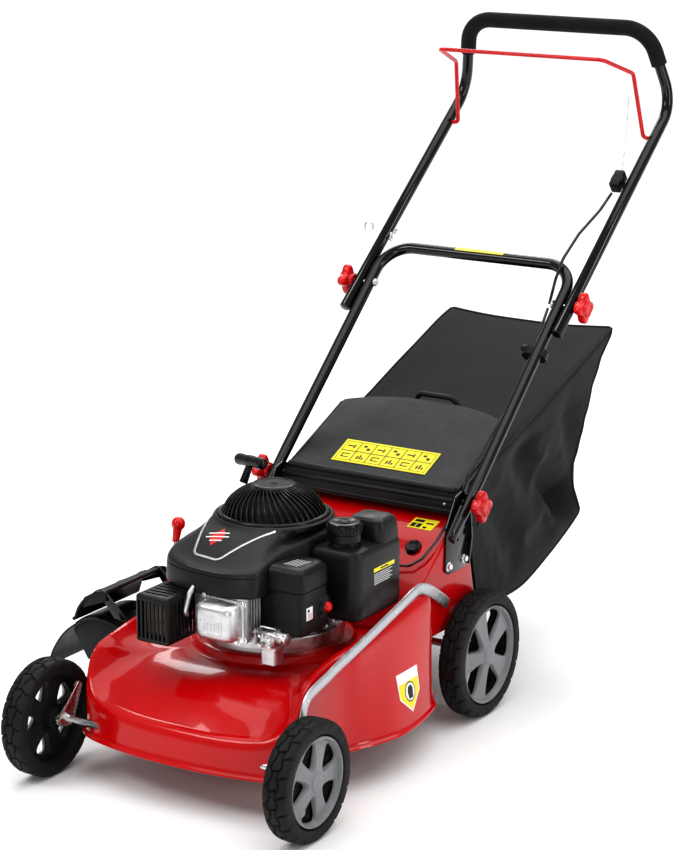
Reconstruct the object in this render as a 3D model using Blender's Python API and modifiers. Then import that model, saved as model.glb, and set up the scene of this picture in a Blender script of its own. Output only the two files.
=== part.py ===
"""Push lawn mower: petrol engine, pressed steel deck, folding handle, rear bag and side chute.

Metres, +Z up. The mower looks along -Y and its handle is at +Y. Lengths below are measured
from the ground and from the front wheels' axle; the last step moves everything so that the
origin is under the middle of the footprint.
"""

import math

import bmesh
import bpy
from mathutils import Matrix, Vector

# ---- driving dimensions -------------------------------------------------------------------
GAP = 0.0003  # between faces that touch on the real mower
SHEET = 0.002  # deck steel

FRONT_WHEEL_R = 0.089
REAR_WHEEL_R = 0.1016
WHEEL_WIDTH = 0.040
WHEEL_STEPS = 20
FRONT_WHEEL_X = 0.2306
REAR_WHEEL_X = 0.1920
WHEELBASE = 0.560
AXLE_R = 0.006
BORE_R = 0.0063
CRANK_OFFSET = (0.018, -0.004)  # wheel axle to axle shaft, in y and z

ENGINE_Y = 0.265
PLATFORM_Z = 0.189
BLADE_R = 0.195

TUBE_R = 0.0095
LOWER_X = 0.180
UPPER_X = 0.2005
LOWER_END = (0.487, 0.303)
LOWER_STUD = (0.538, 0.349)
UPPER_STUD = (0.830, 0.613)
BAIL_PIVOT = (1.125, 0.850)
FLAP_AXIS = (0.548, 0.350)
GUIDE_SPOT = (0.914, 0.6804)
SIDE_AXIS = (-0.2300, 0.2420)  # x and z
SIDE_EARS = (0.1390, 0.2810)  # near face of each hinge ear, in y
LEVER_PIVOT = (0.300, 0.155)
LINK_X = -0.110
FOOTPRINT_MID = (-0.0547, 0.5501)

# A moving piece has its origin on its joint's axis.
PIVOTS = {
    "wheel_front_left": (FRONT_WHEEL_X, 0, FRONT_WHEEL_R),
    "rim_front_left": (FRONT_WHEEL_X, 0, FRONT_WHEEL_R),
    "wheel_front_right": (-FRONT_WHEEL_X, 0, FRONT_WHEEL_R),
    "rim_front_right": (-FRONT_WHEEL_X, 0, FRONT_WHEEL_R),
    "wheel_rear_left": (REAR_WHEEL_X, WHEELBASE, REAR_WHEEL_R),
    "rim_rear_left": (REAR_WHEEL_X, WHEELBASE, REAR_WHEEL_R),
    "wheel_rear_right": (-REAR_WHEEL_X, WHEELBASE, REAR_WHEEL_R),
    "rim_rear_right": (-REAR_WHEEL_X, WHEELBASE, REAR_WHEEL_R),
    "front_axle": (0, CRANK_OFFSET[0], FRONT_WHEEL_R + CRANK_OFFSET[1]),
    "rear_axle": (0, WHEELBASE + CRANK_OFFSET[0], REAR_WHEEL_R + CRANK_OFFSET[1]),
    "height_link": (LINK_X, CRANK_OFFSET[0], FRONT_WHEEL_R + CRANK_OFFSET[1] + 0.022),
    "height_lever": (-0.2275, *LEVER_PIVOT),
    "lever_ball": (-0.2275, *LEVER_PIVOT),
    "crankshaft": (0, ENGINE_Y, 0.200),
    "flywheel": (0, ENGINE_Y, 0.200),
    "blade": (0, ENGINE_Y, 0.200),
    "blade_bolt": (0, ENGINE_Y, 0.200),
    "fuel_cap": (0.127, 0.262, 0.370),
    "oil_filler_cap": (-0.094, 0.250, 0.250),
    "lower_handle": (0, *LOWER_STUD),
    "upper_handle": (0, *UPPER_STUD),
    "knob_lower_left": (LOWER_X, *LOWER_STUD),
    "knob_lower_right": (-LOWER_X, *LOWER_STUD),
    "knob_upper_left": (UPPER_X, *UPPER_STUD),
    "knob_upper_right": (-UPPER_X, *UPPER_STUD),
    "bail": (0, *BAIL_PIVOT),
    "rear_flap": (0, *FLAP_AXIS),
    "side_flap": (SIDE_AXIS[0], 0.2125, SIDE_AXIS[1]),
}

# Deck edge, one side, from the front middle to the back: x, y and the height of the shoulder.
DECK_STATIONS = (
    (0.000, -0.006, 0.120),
    (0.060, -0.004, 0.120),
    (0.115, 0.004, 0.122),
    (0.158, 0.016, 0.128),
    (0.184, 0.034, 0.152),
    (0.190, 0.058, 0.192),
    (0.187, 0.110, 0.207),
    (0.190, 0.172, 0.216),
    (0.208, 0.218, 0.223),
    (0.220, 0.268, 0.229),
    (0.216, 0.335, 0.238),
    (0.203, 0.390, 0.245),
    (0.186, 0.418, 0.240),
    (0.166, 0.446, 0.222),
    (0.145, 0.464, 0.205),
    (0.100, 0.472, 0.200),
    (0.050, 0.474, 0.198),
    (0.000, 0.474, 0.198),
)

# ---- scene and helpers --------------------------------------------------------------------
for old in list(bpy.data.objects):
    bpy.data.objects.remove(old, do_unlink=True)

PARTS = bpy.data.collections.new("push_lawn_mower")
CUTTERS = bpy.data.collections.new("cutters")
bpy.context.scene.collection.children.link(PARTS)
bpy.context.scene.collection.children.link(CUTTERS)
CUTTERS.hide_render = True

PAINTS = {
    "red_paint": ((0.62, 0.004, 0.006), 0.0, 0.18),
    "black_paint": ((0.010, 0.010, 0.011), 0.0, 0.22),
    "black_plastic": ((0.018, 0.018, 0.019), 0.0, 0.45),
    "grey_plastic": ((0.20, 0.21, 0.22), 0.0, 0.40),
    "red_plastic": ((0.55, 0.010, 0.008), 0.0, 0.30),
    "tyre_black": ((0.014, 0.014, 0.014), 0.0, 0.60),
    "foam_black": ((0.016, 0.016, 0.017), 0.0, 0.85),
    "zinc": ((0.55, 0.55, 0.54), 1.0, 0.35),
    "cast_aluminium": ((0.60, 0.60, 0.61), 1.0, 0.40),
    "silver_paint": ((0.50, 0.51, 0.52), 0.6, 0.30),
    "dark_steel": ((0.06, 0.055, 0.05), 1.0, 0.50),
    "bag_cloth": ((0.012, 0.012, 0.013), 0.0, 0.90),
}


def paint(obj, name):
    """Give the object its own material of the named kind."""
    color, metallic, roughness = PAINTS[name]
    material = bpy.data.materials.new(obj.name + "_" + name)
    material.use_nodes = True
    shader = material.node_tree.nodes["Principled BSDF"]
    shader.inputs["Base Color"].default_value = (*color, 1)
    shader.inputs["Metallic"].default_value = metallic
    shader.inputs["Roughness"].default_value = roughness
    obj.data.materials.clear()
    obj.data.materials.append(material)
    return obj


def keep(obj, name, kind):
    """Name a finished piece, paint it and put it with the parts."""
    obj.name = name
    obj.data.name = name
    for collection in list(obj.users_collection):
        collection.objects.unlink(obj)
    PARTS.objects.link(obj)
    obj.hide_render = False
    obj.display_type = "TEXTURED"
    obj.data.shade_smooth()
    obj.data.set_sharp_from_angle(angle=math.radians(32))
    pivot = Vector(PIVOTS.get(name, (0, 0, 0)))
    obj.data.transform(Matrix.Translation(-pivot))
    obj.location = pivot
    return paint(obj, kind)


def helper(obj):
    """Put a cutter or a piece to be joined where it isn't rendered."""
    for collection in list(obj.users_collection):
        collection.objects.unlink(obj)
    CUTTERS.objects.link(obj)
    obj.hide_render = True
    obj.display_type = "WIRE"
    return obj


def from_bmesh(mesh, name="solid"):
    bmesh.ops.recalc_face_normals(mesh, faces=mesh.faces[:])
    data = bpy.data.meshes.new(name)
    mesh.to_mesh(data)
    mesh.free()
    obj = bpy.data.objects.new(name, data)
    return helper(obj)


def box(low, high, bevel=0.0, segments=2):
    mesh = bmesh.new()
    bmesh.ops.create_cube(mesh, size=1)
    low, high = Vector(low), Vector(high)
    size = high - low
    middle = (high + low) / 2
    place = Matrix.Translation(middle) @ Matrix.Diagonal((*size, 1))
    bmesh.ops.transform(mesh, matrix=place, verts=mesh.verts[:])
    if bevel:
        bmesh.ops.bevel(
            mesh, geom=mesh.edges[:], offset=bevel, segments=segments, affect="EDGES", profile=0.5,
        )
    return from_bmesh(mesh)


def rod(start, end, radius, sides=16, end_radius=None):
    """A straight round bar between two points; end_radius makes it a cone."""
    start, end = Vector(start), Vector(end)
    along = end - start
    mesh = bmesh.new()
    bmesh.ops.create_cone(
        mesh, cap_ends=True, segments=sides, radius1=radius,
        radius2=radius if end_radius is None else end_radius, depth=along.length,
    )
    turn = Vector((0, 0, 1)).rotation_difference(along.normalized()).to_matrix().to_4x4()
    bmesh.ops.transform(mesh, matrix=Matrix.Translation((start + end) / 2) @ turn, verts=mesh.verts[:])
    return from_bmesh(mesh)


def ball(center, radius, scale=(1, 1, 1), u=16, v=10):
    mesh = bmesh.new()
    bmesh.ops.create_uvsphere(mesh, u_segments=u, v_segments=v, radius=radius)
    place = Matrix.Translation(center) @ Matrix.Diagonal((*scale, 1))
    bmesh.ops.transform(mesh, matrix=place, verts=mesh.verts[:])
    return from_bmesh(mesh)


def turned(profile, center, axis, steps=32):
    """A closed outline of (radius, height) turned about an axis through center."""
    data = bpy.data.meshes.new("profile")
    count = len(profile)
    data.from_pydata([(r, 0, h) for r, h in profile], [(i, (i + 1) % count) for i in range(count)], [])
    obj = helper(bpy.data.objects.new("turned", data))
    screw = obj.modifiers.new("turn", "SCREW")
    screw.steps = screw.render_steps = steps
    screw.use_merge_vertices = True
    screw.merge_threshold = 0.00001
    turn = Vector((0, 0, 1)).rotation_difference(Vector(axis).normalized()).to_matrix().to_4x4()
    obj = baked(obj)
    mesh = bmesh.new()
    mesh.from_mesh(obj.data)
    bmesh.ops.remove_doubles(mesh, verts=mesh.verts[:], dist=0.00001)
    bmesh.ops.recalc_face_normals(mesh, faces=mesh.faces[:])
    bmesh.ops.transform(mesh, matrix=Matrix.Translation(center) @ turn, verts=mesh.verts[:])
    mesh.to_mesh(obj.data)
    mesh.free()
    return obj


def baked(obj, triangulate=False):
    """The object as a plain mesh, with its modifiers or curve settings worked out."""
    bpy.context.view_layer.update()
    graph = bpy.context.evaluated_depsgraph_get()
    data = bpy.data.meshes.new_from_object(obj.evaluated_get(graph))
    name = obj.name
    bpy.data.objects.remove(obj, do_unlink=True)
    mesh = bmesh.new()
    mesh.from_mesh(data)
    bmesh.ops.remove_doubles(mesh, verts=mesh.verts[:], dist=0.000005)
    if triangulate:
        bmesh.ops.triangulate(mesh, faces=mesh.faces[:])
    bmesh.ops.recalc_face_normals(mesh, faces=mesh.faces[:])
    mesh.to_mesh(data)
    mesh.free()
    return helper(bpy.data.objects.new(name, data))


def combined(base, operation, others):
    """The base with the others cut away from it or joined to it."""
    for other in others:
        modifier = base.modifiers.new(operation.lower(), "BOOLEAN")
        modifier.operation = operation
        modifier.solver = "EXACT"
        modifier.object = other
        base = baked(base, triangulate=True)
        bpy.data.objects.remove(other, do_unlink=True)
    return base


def cut(base, *cutters):
    return combined(base, "DIFFERENCE", cutters)


def joined(base, *others):
    return combined(base, "UNION", others)


def loft(rings, closed_rings=True, around=False):
    """Faces between rings of equal length; around joins the last ring to the first one."""
    mesh = bmesh.new()
    rows = [[mesh.verts.new(p) for p in ring] for ring in rings]
    count = len(rows[0])
    pairs = list(zip(rows, rows[1:])) + ([(rows[-1], rows[0])] if around else [])
    for a, b in pairs:
        for i in range(count if closed_rings else count - 1):
            j = (i + 1) % count
            mesh.faces.new((a[i], a[j], b[j], b[i]))
    if not around:
        mesh.faces.new(rows[0])
        mesh.faces.new(rows[-1])
    return from_bmesh(mesh)


def rounded(points, radius, steps=5):
    """The open path with each inner corner replaced by an arc."""
    points = [Vector(p) for p in points]
    radii = radius if isinstance(radius, (list, tuple)) else [radius] * (len(points) - 2)
    path = [points[0]]
    for before, corner, after, r in zip(points, points[1:], points[2:], radii):
        a = (before - corner).normalized()
        b = (after - corner).normalized()
        half = a.angle(b) / 2
        reach = r / math.tan(half)
        start = corner + a * reach
        center = corner + (a + b).normalized() * r / math.sin(half)
        out = start - center
        axis = out.cross(corner + b * reach - center).normalized()
        sweep = math.pi - 2 * half
        for i in range(steps + 1):
            path.append(center + Matrix.Rotation(sweep * i / steps, 3, axis) @ out)
    path.append(points[-1])
    return path


def wire(points, radius, resolution=2, cyclic=False):
    """A round wire or tube along the points, with closed ends."""
    curve = bpy.data.curves.new("wire", "CURVE")
    curve.dimensions = "3D"
    curve.bevel_depth = radius
    curve.bevel_resolution = resolution
    curve.use_fill_caps = True
    spline = curve.splines.new("POLY")
    spline.points.add(len(points) - 1)
    for spot, p in zip(spline.points, points):
        spot.co = (*p, 1)
    spline.use_cyclic_u = cyclic
    return baked(helper(bpy.data.objects.new("wire", curve)))


def plate(outline, low, high, holes=(), axis="X"):
    """A flat plate with a (y, z) outline from x = low to high, and (y, z, radius) holes."""
    rings = [[(x, y, z) for y, z in outline] for x in (low, high)]
    if axis == "Y":
        rings = [[(y, x, z) for y, z in outline] for x in (low, high)]
    if axis == "Z":
        rings = [[(y, z, x) for y, z in outline] for x in (low, high)]
    obj = loft(rings)
    margin = 0.001
    drills = [rod((low - margin, y, z), (high + margin, y, z), r, 12) for y, z, r in holes]
    return cut(obj, *drills) if drills else obj


def hull_outline(circles, sides=16):
    """The outline round a few circles, as (u, v) points in order."""
    cloud = []
    for u, v, r in circles:
        for i in range(sides):
            angle = 2 * math.pi * i / sides
            cloud.append((u + r * math.cos(angle), v + r * math.sin(angle)))
    cloud = sorted(set(cloud))

    def half(spots):
        chain = []
        for p in spots:
            while len(chain) > 1 and (
                (chain[-1][0] - chain[-2][0]) * (p[1] - chain[-2][1])
                - (chain[-1][1] - chain[-2][1]) * (p[0] - chain[-2][0])
            ) <= 1e-9:
                chain.pop()
            chain.append(p)
        return chain[:-1]

    return half(cloud) + half(cloud[::-1])


def toward(point, target, distance):
    """The (x, y) point moved a distance toward the target."""
    dx, dy = target[0] - point[0], target[1] - point[1]
    length = math.hypot(dx, dy)
    return point[0] + dx * distance / length, point[1] + dy * distance / length


# ---- deck ---------------------------------------------------------------------------------
def deck_section(x, y, shoulder):
    """Outer half of the section at one station, from the bottom lip to the engine platform."""
    middle = (0, ENGINE_Y)
    angle = math.atan2(y - ENGINE_Y, x)
    section = []
    for inward, z in (
        (-0.005, 0.0640), (-0.005, 0.0670), (0.0, 0.0710), (0.001, shoulder - 0.026),
        (0.005, shoulder - 0.005), (0.018, shoulder),
    ):
        section.append((*toward((x, y), middle, inward), z))
    edge = toward((x, y), middle, 0.018)
    for share, drop in ((0.30, 0.60), (0.65, 0.92)):
        foot = (0.130 * math.cos(angle), ENGINE_Y + 0.130 * math.sin(angle))
        z = shoulder + (PLATFORM_Z - 0.012 - shoulder) * drop
        section.append((edge[0] + (foot[0] - edge[0]) * share, edge[1] + (foot[1] - edge[1]) * share, z))
    for radius, z in ((0.130, PLATFORM_Z - 0.013), (0.124, PLATFORM_Z - 0.010), (0.120, PLATFORM_Z),
    (0.055, PLATFORM_Z)):
        section.append((radius * math.cos(angle), ENGINE_Y + radius * math.sin(angle), z))
    return section


def deck_lining(section):
    """The inner half of the same section, one sheet thickness in, from the top to the lip."""
    angle = math.atan2(section[2][1] - ENGINE_Y, section[2][0])
    spots = [(math.hypot(x, y - ENGINE_Y), z) for x, y, z in section[2:]]
    lining = [(spots[0][0] - SHEET, 0.0640)]
    for i, (r, z) in enumerate(spots):
        before, after = spots[max(i - 1, 0)], spots[min(i + 1, len(spots) - 1)]
        along = Vector((after[0] - before[0], after[1] - before[1])).normalized()
        lining.append((r - SHEET * along.y, z + SHEET * along.x))
    return [(r * math.cos(angle), ENGINE_Y + r * math.sin(angle), z) for r, z in lining[::-1]]


def prism(outline, low, high):
    return plate(outline, low, high)


def make_deck():
    stations = list(DECK_STATIONS)
    stations += [(-x, y, z) for x, y, z in DECK_STATIONS[-2:0:-1]]
    rings = []
    for x, y, shoulder in stations:
        section = deck_section(x, y, shoulder)
        rings.append(section + deck_lining(section))
    deck = loft(rings, around=True)
    tunnel = prism(
        ((0.372, 0.150), (0.600, 0.150), (0.560, 0.322), (0.500, 0.306), (0.420, 0.247), (0.395, 0.215),
            (0.372, 0.185)),
        -0.165, 0.165,
    )
    lugs = [
        prism(((0.562, 0.080), (0.596, 0.080), (0.594, 0.158), (0.566, 0.158)), x, x + 0.003)
        for x in (-0.1640, 0.1610)
    ]
    deck = joined(deck, tunnel, *lugs)
    bore = prism(
        ((0.376, 0.153), (0.610, 0.153), (0.570, 0.3203), (0.501, 0.3038), (0.4213, 0.2444),
            (0.3966, 0.2132),
         (0.376, 0.184)),
        -0.1628, 0.1628,
    )
    front_y = CRANK_OFFSET[0]
    front_z = FRONT_WHEEL_R + CRANK_OFFSET[1]
    rear_y = WHEELBASE + CRANK_OFFSET[0]
    rear_z = REAR_WHEEL_R + CRANK_OFFSET[1]
    ears = [box((-0.2345, y, 0.205), (-0.180, y + 0.005, 0.2475)) for y in SIDE_EARS]
    deck = joined(deck, *ears)
    side_window = box((-0.240, 0.170, 0.098), (-0.150, 0.278, 0.185), 0.008)
    deck = cut(
        deck,
        bore,
        side_window,
        rod((-0.22, front_y, front_z), (0.22, front_y, front_z), AXLE_R + 0.0004, 16),
        rod((-0.18, rear_y, rear_z), (0.18, rear_y, rear_z), AXLE_R + 0.0004, 16),
        box((LINK_X - 0.006, 0.455, 0.095), (LINK_X + 0.006, 0.490, 0.135)),
        rod((0.120, 0.473, 0.240), (0.120, 0.473, 0.310), 0.0105, 16),
        rod((-0.225, *LEVER_PIVOT), (-0.205, *LEVER_PIVOT), 0.0034, 12),
        rod((SIDE_AXIS[0], 0.130, SIDE_AXIS[1]), (SIDE_AXIS[0], 0.300, SIDE_AXIS[1]), 0.0038, 12),
    )
    return keep(deck, "deck_shell", "red_paint")


def make_trim(side):
    """The flat bar along the shoulder, from behind the front wheel to the rear wheel."""
    path = (
        (0.1945, 0.040, 0.150), (0.1955, 0.046, 0.184), (0.1945, 0.060, 0.203), (0.1930, 0.110, 0.2125),
        (0.1960, 0.172, 0.221), (0.2125, 0.218, 0.228), (0.2235, 0.268, 0.234), (0.2195, 0.335, 0.243),
        (0.2080, 0.392, 0.251), (0.1930, 0.421, 0.245), (0.1775, 0.450, 0.229), (0.1710, 0.476, 0.214),
    )
    rings = []
    for i, (x, y, z) in enumerate(path):
        before, after = path[max(i - 1, 0)], path[min(i + 1, len(path) - 1)]
        along = Vector((0, after[1] - before[1], after[2] - before[2])).normalized()
        up = Vector((0, -along.z, along.y))
        out = 0.0012
        half = 0.0065
        ring = []
        for dx, h in ((-out, -half), (out, -half), (out, half), (-out, half)):
            ring.append(((x + dx) * side, y + up.y * h, z + up.z * h))
        rings.append(ring)
    trim = loft(rings)
    if side > 0:
        return keep(trim, "trim_left", "silver_paint")
    # On the chute side the bar starts behind the rear hinge ear.
    trim = cut(trim, box((-0.240, 0.0, 0.100), (-0.150, SIDE_EARS[1] + 0.005 + GAP, 0.300)))
    return keep(trim, "trim_right", "silver_paint")


# ---- wheels and height adjustment ---------------------------------------------------------
def spoke_windows(center, radius_in, radius_out, low, high):
    """Five cutters for the openings between the spokes, as one object."""
    x, y, z = center
    result = None
    for i in range(5):
        angle = math.radians(90 + 72 * i)
        spread = math.radians(17)
        outline = []
        for a, r in (
            (-spread * 0.25, radius_in), (-spread, radius_out - 0.008), (-spread * 0.7, radius_out),
            (spread * 0.7, radius_out), (spread, radius_out - 0.008), (spread * 0.25, radius_in),
        ):
            outline.append((y + r * math.cos(angle + a), z + r * math.sin(angle + a)))
        piece = prism(outline, low, high)
        result = piece if result is None else joined(result, piece)
    return result


def make_wheel(label, x, y, radius, rim_radius):
    """The black moulded wheel with its tread, and the grey disc snapped on its outer side."""
    side = 1 if x > 0 else -1
    half = WHEEL_WIDTH / 2
    hub = 0.016
    web = 0.004
    profile = [
        (BORE_R, half - 0.006), (hub, half - 0.006), (hub, web), (rim_radius - 0.006, web),
        (rim_radius + 0.004, half), (radius - 0.005, half - 0.001), (radius, half - 0.009),
        (radius, -half + 0.009), (radius - 0.005, -half + 0.001), (rim_radius + 0.004, -half),
        (rim_radius - 0.006, -web), (hub, -web), (hub, -half + 0.002), (BORE_R, -half + 0.002),
    ]
    wheel = turned(profile, (x, y, radius), (side, 0, 0), WHEEL_STEPS)
    low, high = sorted((x - side * 0.03, x + side * 0.03))
    wheel = cut(wheel, spoke_windows((x, y, radius), 0.026, rim_radius - 0.010, low, high))
    keep(wheel, "wheel_" + label, "tyre_black")
    outer = rim_radius - 0.0045
    disc = [
        (0.0001, half - 0.0010), (0.0145, half - 0.0010), (0.022, half - 0.0040),
            (outer - 0.006, half - 0.0085),
        (outer - 0.004, half - 0.0010), (outer - 0.0007, half - 0.0010), (outer - 0.0007, half - 0.0040),
        (outer - 0.004, half - 0.0115), (0.0175, web + 0.0030), (0.0165, half - 0.0045),
            (0.0001, half - 0.0035),
    ]
    rim = turned(disc, (x, y, radius), (side, 0, 0), WHEEL_STEPS)
    rim = cut(rim, spoke_windows((x, y, radius), 0.026, rim_radius - 0.013, low, high))
    keep(rim, "rim_" + label, "grey_plastic")


def make_axle(name, x_wheel, y, z, plate_x):
    """A shaft across the mower with a crank plate and a wheel stub at each end."""
    shaft_y, shaft_z = y + CRANK_OFFSET[0], z + CRANK_OFFSET[1]
    axle = rod((-plate_x - 0.002, shaft_y, shaft_z), (plate_x + 0.002, shaft_y, shaft_z), AXLE_R, 12)
    pieces = []
    outline = hull_outline(((y, z, 0.0095), (shaft_y, shaft_z, 0.0085), (y + 0.041, z + 0.042, 0.0060)), 8)
    for side in (-1, 1):
        low, high = sorted((side * plate_x, side * (plate_x + 0.0035)))
        pieces.append(prism(outline, low, high))
        tip = x_wheel + WHEEL_WIDTH / 2 - 0.0058
        pieces.append(rod((side * (plate_x + 0.001), y, z), (side * tip, y, z), AXLE_R - 0.0003, 12))
    arm = hull_outline(((shaft_y, shaft_z, 0.0085), (shaft_y, shaft_z + 0.022, 0.0050)), 8)
    pieces.append(prism(arm, LINK_X + 0.004, LINK_X + 0.007))
    axle = joined(axle, *pieces)
    axle = cut(axle, rod((LINK_X, shaft_y, shaft_z + 0.022), (LINK_X + 0.010, shaft_y, shaft_z + 0.022),
        0.0029, 12))
    return keep(axle, name, "zinc")


def make_height_parts():
    make_axle("front_axle", FRONT_WHEEL_X, 0, FRONT_WHEEL_R, 0.2005)
    make_axle("rear_axle", REAR_WHEEL_X, WHEELBASE, REAR_WHEEL_R, 0.1665)
    rise = 0.022 + CRANK_OFFSET[1]
    front = (CRANK_OFFSET[0], FRONT_WHEEL_R + rise)
    rear = (WHEELBASE + CRANK_OFFSET[0], REAR_WHEEL_R + rise)
    link = wire(
        rounded(((LINK_X + 0.0085, *front), (LINK_X, *front), (LINK_X, *rear), (LINK_X + 0.0085, *rear)),
            0.003, 3), 0.0025, 1,
    )
    keep(link, "height_link", "zinc")
    y, z = LEVER_PIVOT
    outline = hull_outline(((y, z, 0.011), (y + 0.016, z + 0.070, 0.007)), 12)
    strap = prism(outline, -0.2290, -0.2260)
    neck = rod((-0.2275, y + 0.014, z + 0.062), (-0.2275, y + 0.031, z + 0.1385), 0.0035, 12)
    pin = rod((-0.2270, y, z), (-0.2120, y, z), 0.0030, 12)
    keep(joined(strap, neck, pin), "height_lever", "zinc")
    knob = ball((-0.2275, y + 0.0345, z + 0.149), 0.0112, u=14, v=8)
    stem = rod((-0.2275, y + 0.026, z + 0.121), (-0.2275, y + 0.0335, z + 0.1450), 0.0052, 12, 0.0090)
    knob = joined(knob, stem)
    bore = rod((-0.2275, y + 0.0245, z + 0.1100), (-0.2275, y + 0.0313, z + 0.1393), 0.0038, 12)
    keep(cut(knob, bore), "lever_ball", "red_plastic")


# ---- engine -------------------------------------------------------------------------------
def shroud_outline(sides=28):
    """Plan of the blower housing: round behind, with a nose over the cylinder."""
    outline = []
    for i in range(sides):
        a = 2 * math.pi * i / sides
        x, y = 0.112 * math.cos(a), 0.112 * math.sin(a)
        if y < 0:
            fade = min(1.0, -y / 0.085)
            y = y - 0.075 * fade ** 1.5
            x = x + 0.012 * fade
            x = max(x, -0.108 + 0.030 * fade)
        x = min(x, 0.0985 - 0.018 * max(0.0, min(1.0, -y / 0.090)))
        outline.append((x, ENGINE_Y + y))
    return outline


def shroud_clearance():
    """The space that the blower housing fills, 1 mm larger all round."""
    rings = []
    for z in (0.2980, 0.4000):
        rings.append([(*toward(spot, (0, ENGINE_Y), -0.001), z) for spot in shroud_outline()])
    return loft(rings)


def make_shroud():
    outline = shroud_outline()
    outer = []
    for ring_z, inset, tilt in ((0.300, 0.0, 0.0), (0.333, 0.002, 0.0), (0.346, 0.006, 0.12),
    (0.352, 0.014, 0.16)):
        ring = []
        for x, y in outline:
            px, py = toward((x, y), (0, ENGINE_Y), inset)
            ahead = max(0.0, ENGINE_Y - 0.085 - py)
            behind = max(0.0, min(1.0, (py - ENGINE_Y + 0.085) / 0.085))
            ring.append((px, py, ring_z - tilt * ahead + tilt * 0.06 * behind))
        outer.append(ring)
    for radius, z in ((0.0900, 0.3740), (0.0848, 0.3760)):
        ring = []
        for x, y in outline:
            a = math.atan2(y - ENGINE_Y, x)
            ring.append((radius * math.cos(a), ENGINE_Y + radius * math.sin(a), z))
        outer.append(ring)
    inner = []
    for k, ring in enumerate(outer[::-1]):
        lining = []
        for x, y, z in ring:
            if k == 0:
                lining.append((x, y, z - 0.0025))
                continue
            px, py = toward((x, y), (0, ENGINE_Y), 0.0025)
            lining.append((px, py, z if k == len(outer) - 1 else z - 0.0025))
        inner.append(lining)
    shroud = loft(outer + inner, around=True)
    keep(shroud, "blower_shroud", "black_plastic")


def make_grille():
    """The domed fan grille with its slots."""
    outer = [(0.0001, 0.4210), (0.0300, 0.4205), (0.0345, 0.4185), (0.0560, 0.4080), (0.0720, 0.3930),
        (0.0800, 0.3765)]
    inner = [(r - 0.0022 if r > 0.001 else r, z - 0.0025) for r, z in outer]
    profile = outer + [(0.0822, 0.3765), (0.0822, 0.3722), (0.0785, 0.3722)] + inner[-2::-1]
    grille = turned([(r, z) for r, z in profile], (0, ENGINE_Y, 0), (0, 0, 1), 24)
    slots = []
    for i in range(12):
        a = 2 * math.pi * (i + 0.5) / 12
        slot = box((0.042, -0.0032, 0.370), (0.074, 0.0032, 0.425))
        slot.matrix_world = Matrix.Translation((0, ENGINE_Y, 0)) @ Matrix.Rotation(a, 4, "Z")
        slots.append(baked_at(slot))
    group = bmesh.new()
    for slot in slots:
        group.from_mesh(slot.data)
        bpy.data.objects.remove(slot, do_unlink=True)
    keep(cut(grille, from_bmesh(group)), "fan_grille", "black_plastic")


def baked_at(obj):
    """The object with its placement worked into its mesh."""
    obj.data.transform(obj.matrix_world)
    obj.matrix_world = Matrix.Identity(4)
    return obj


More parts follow.
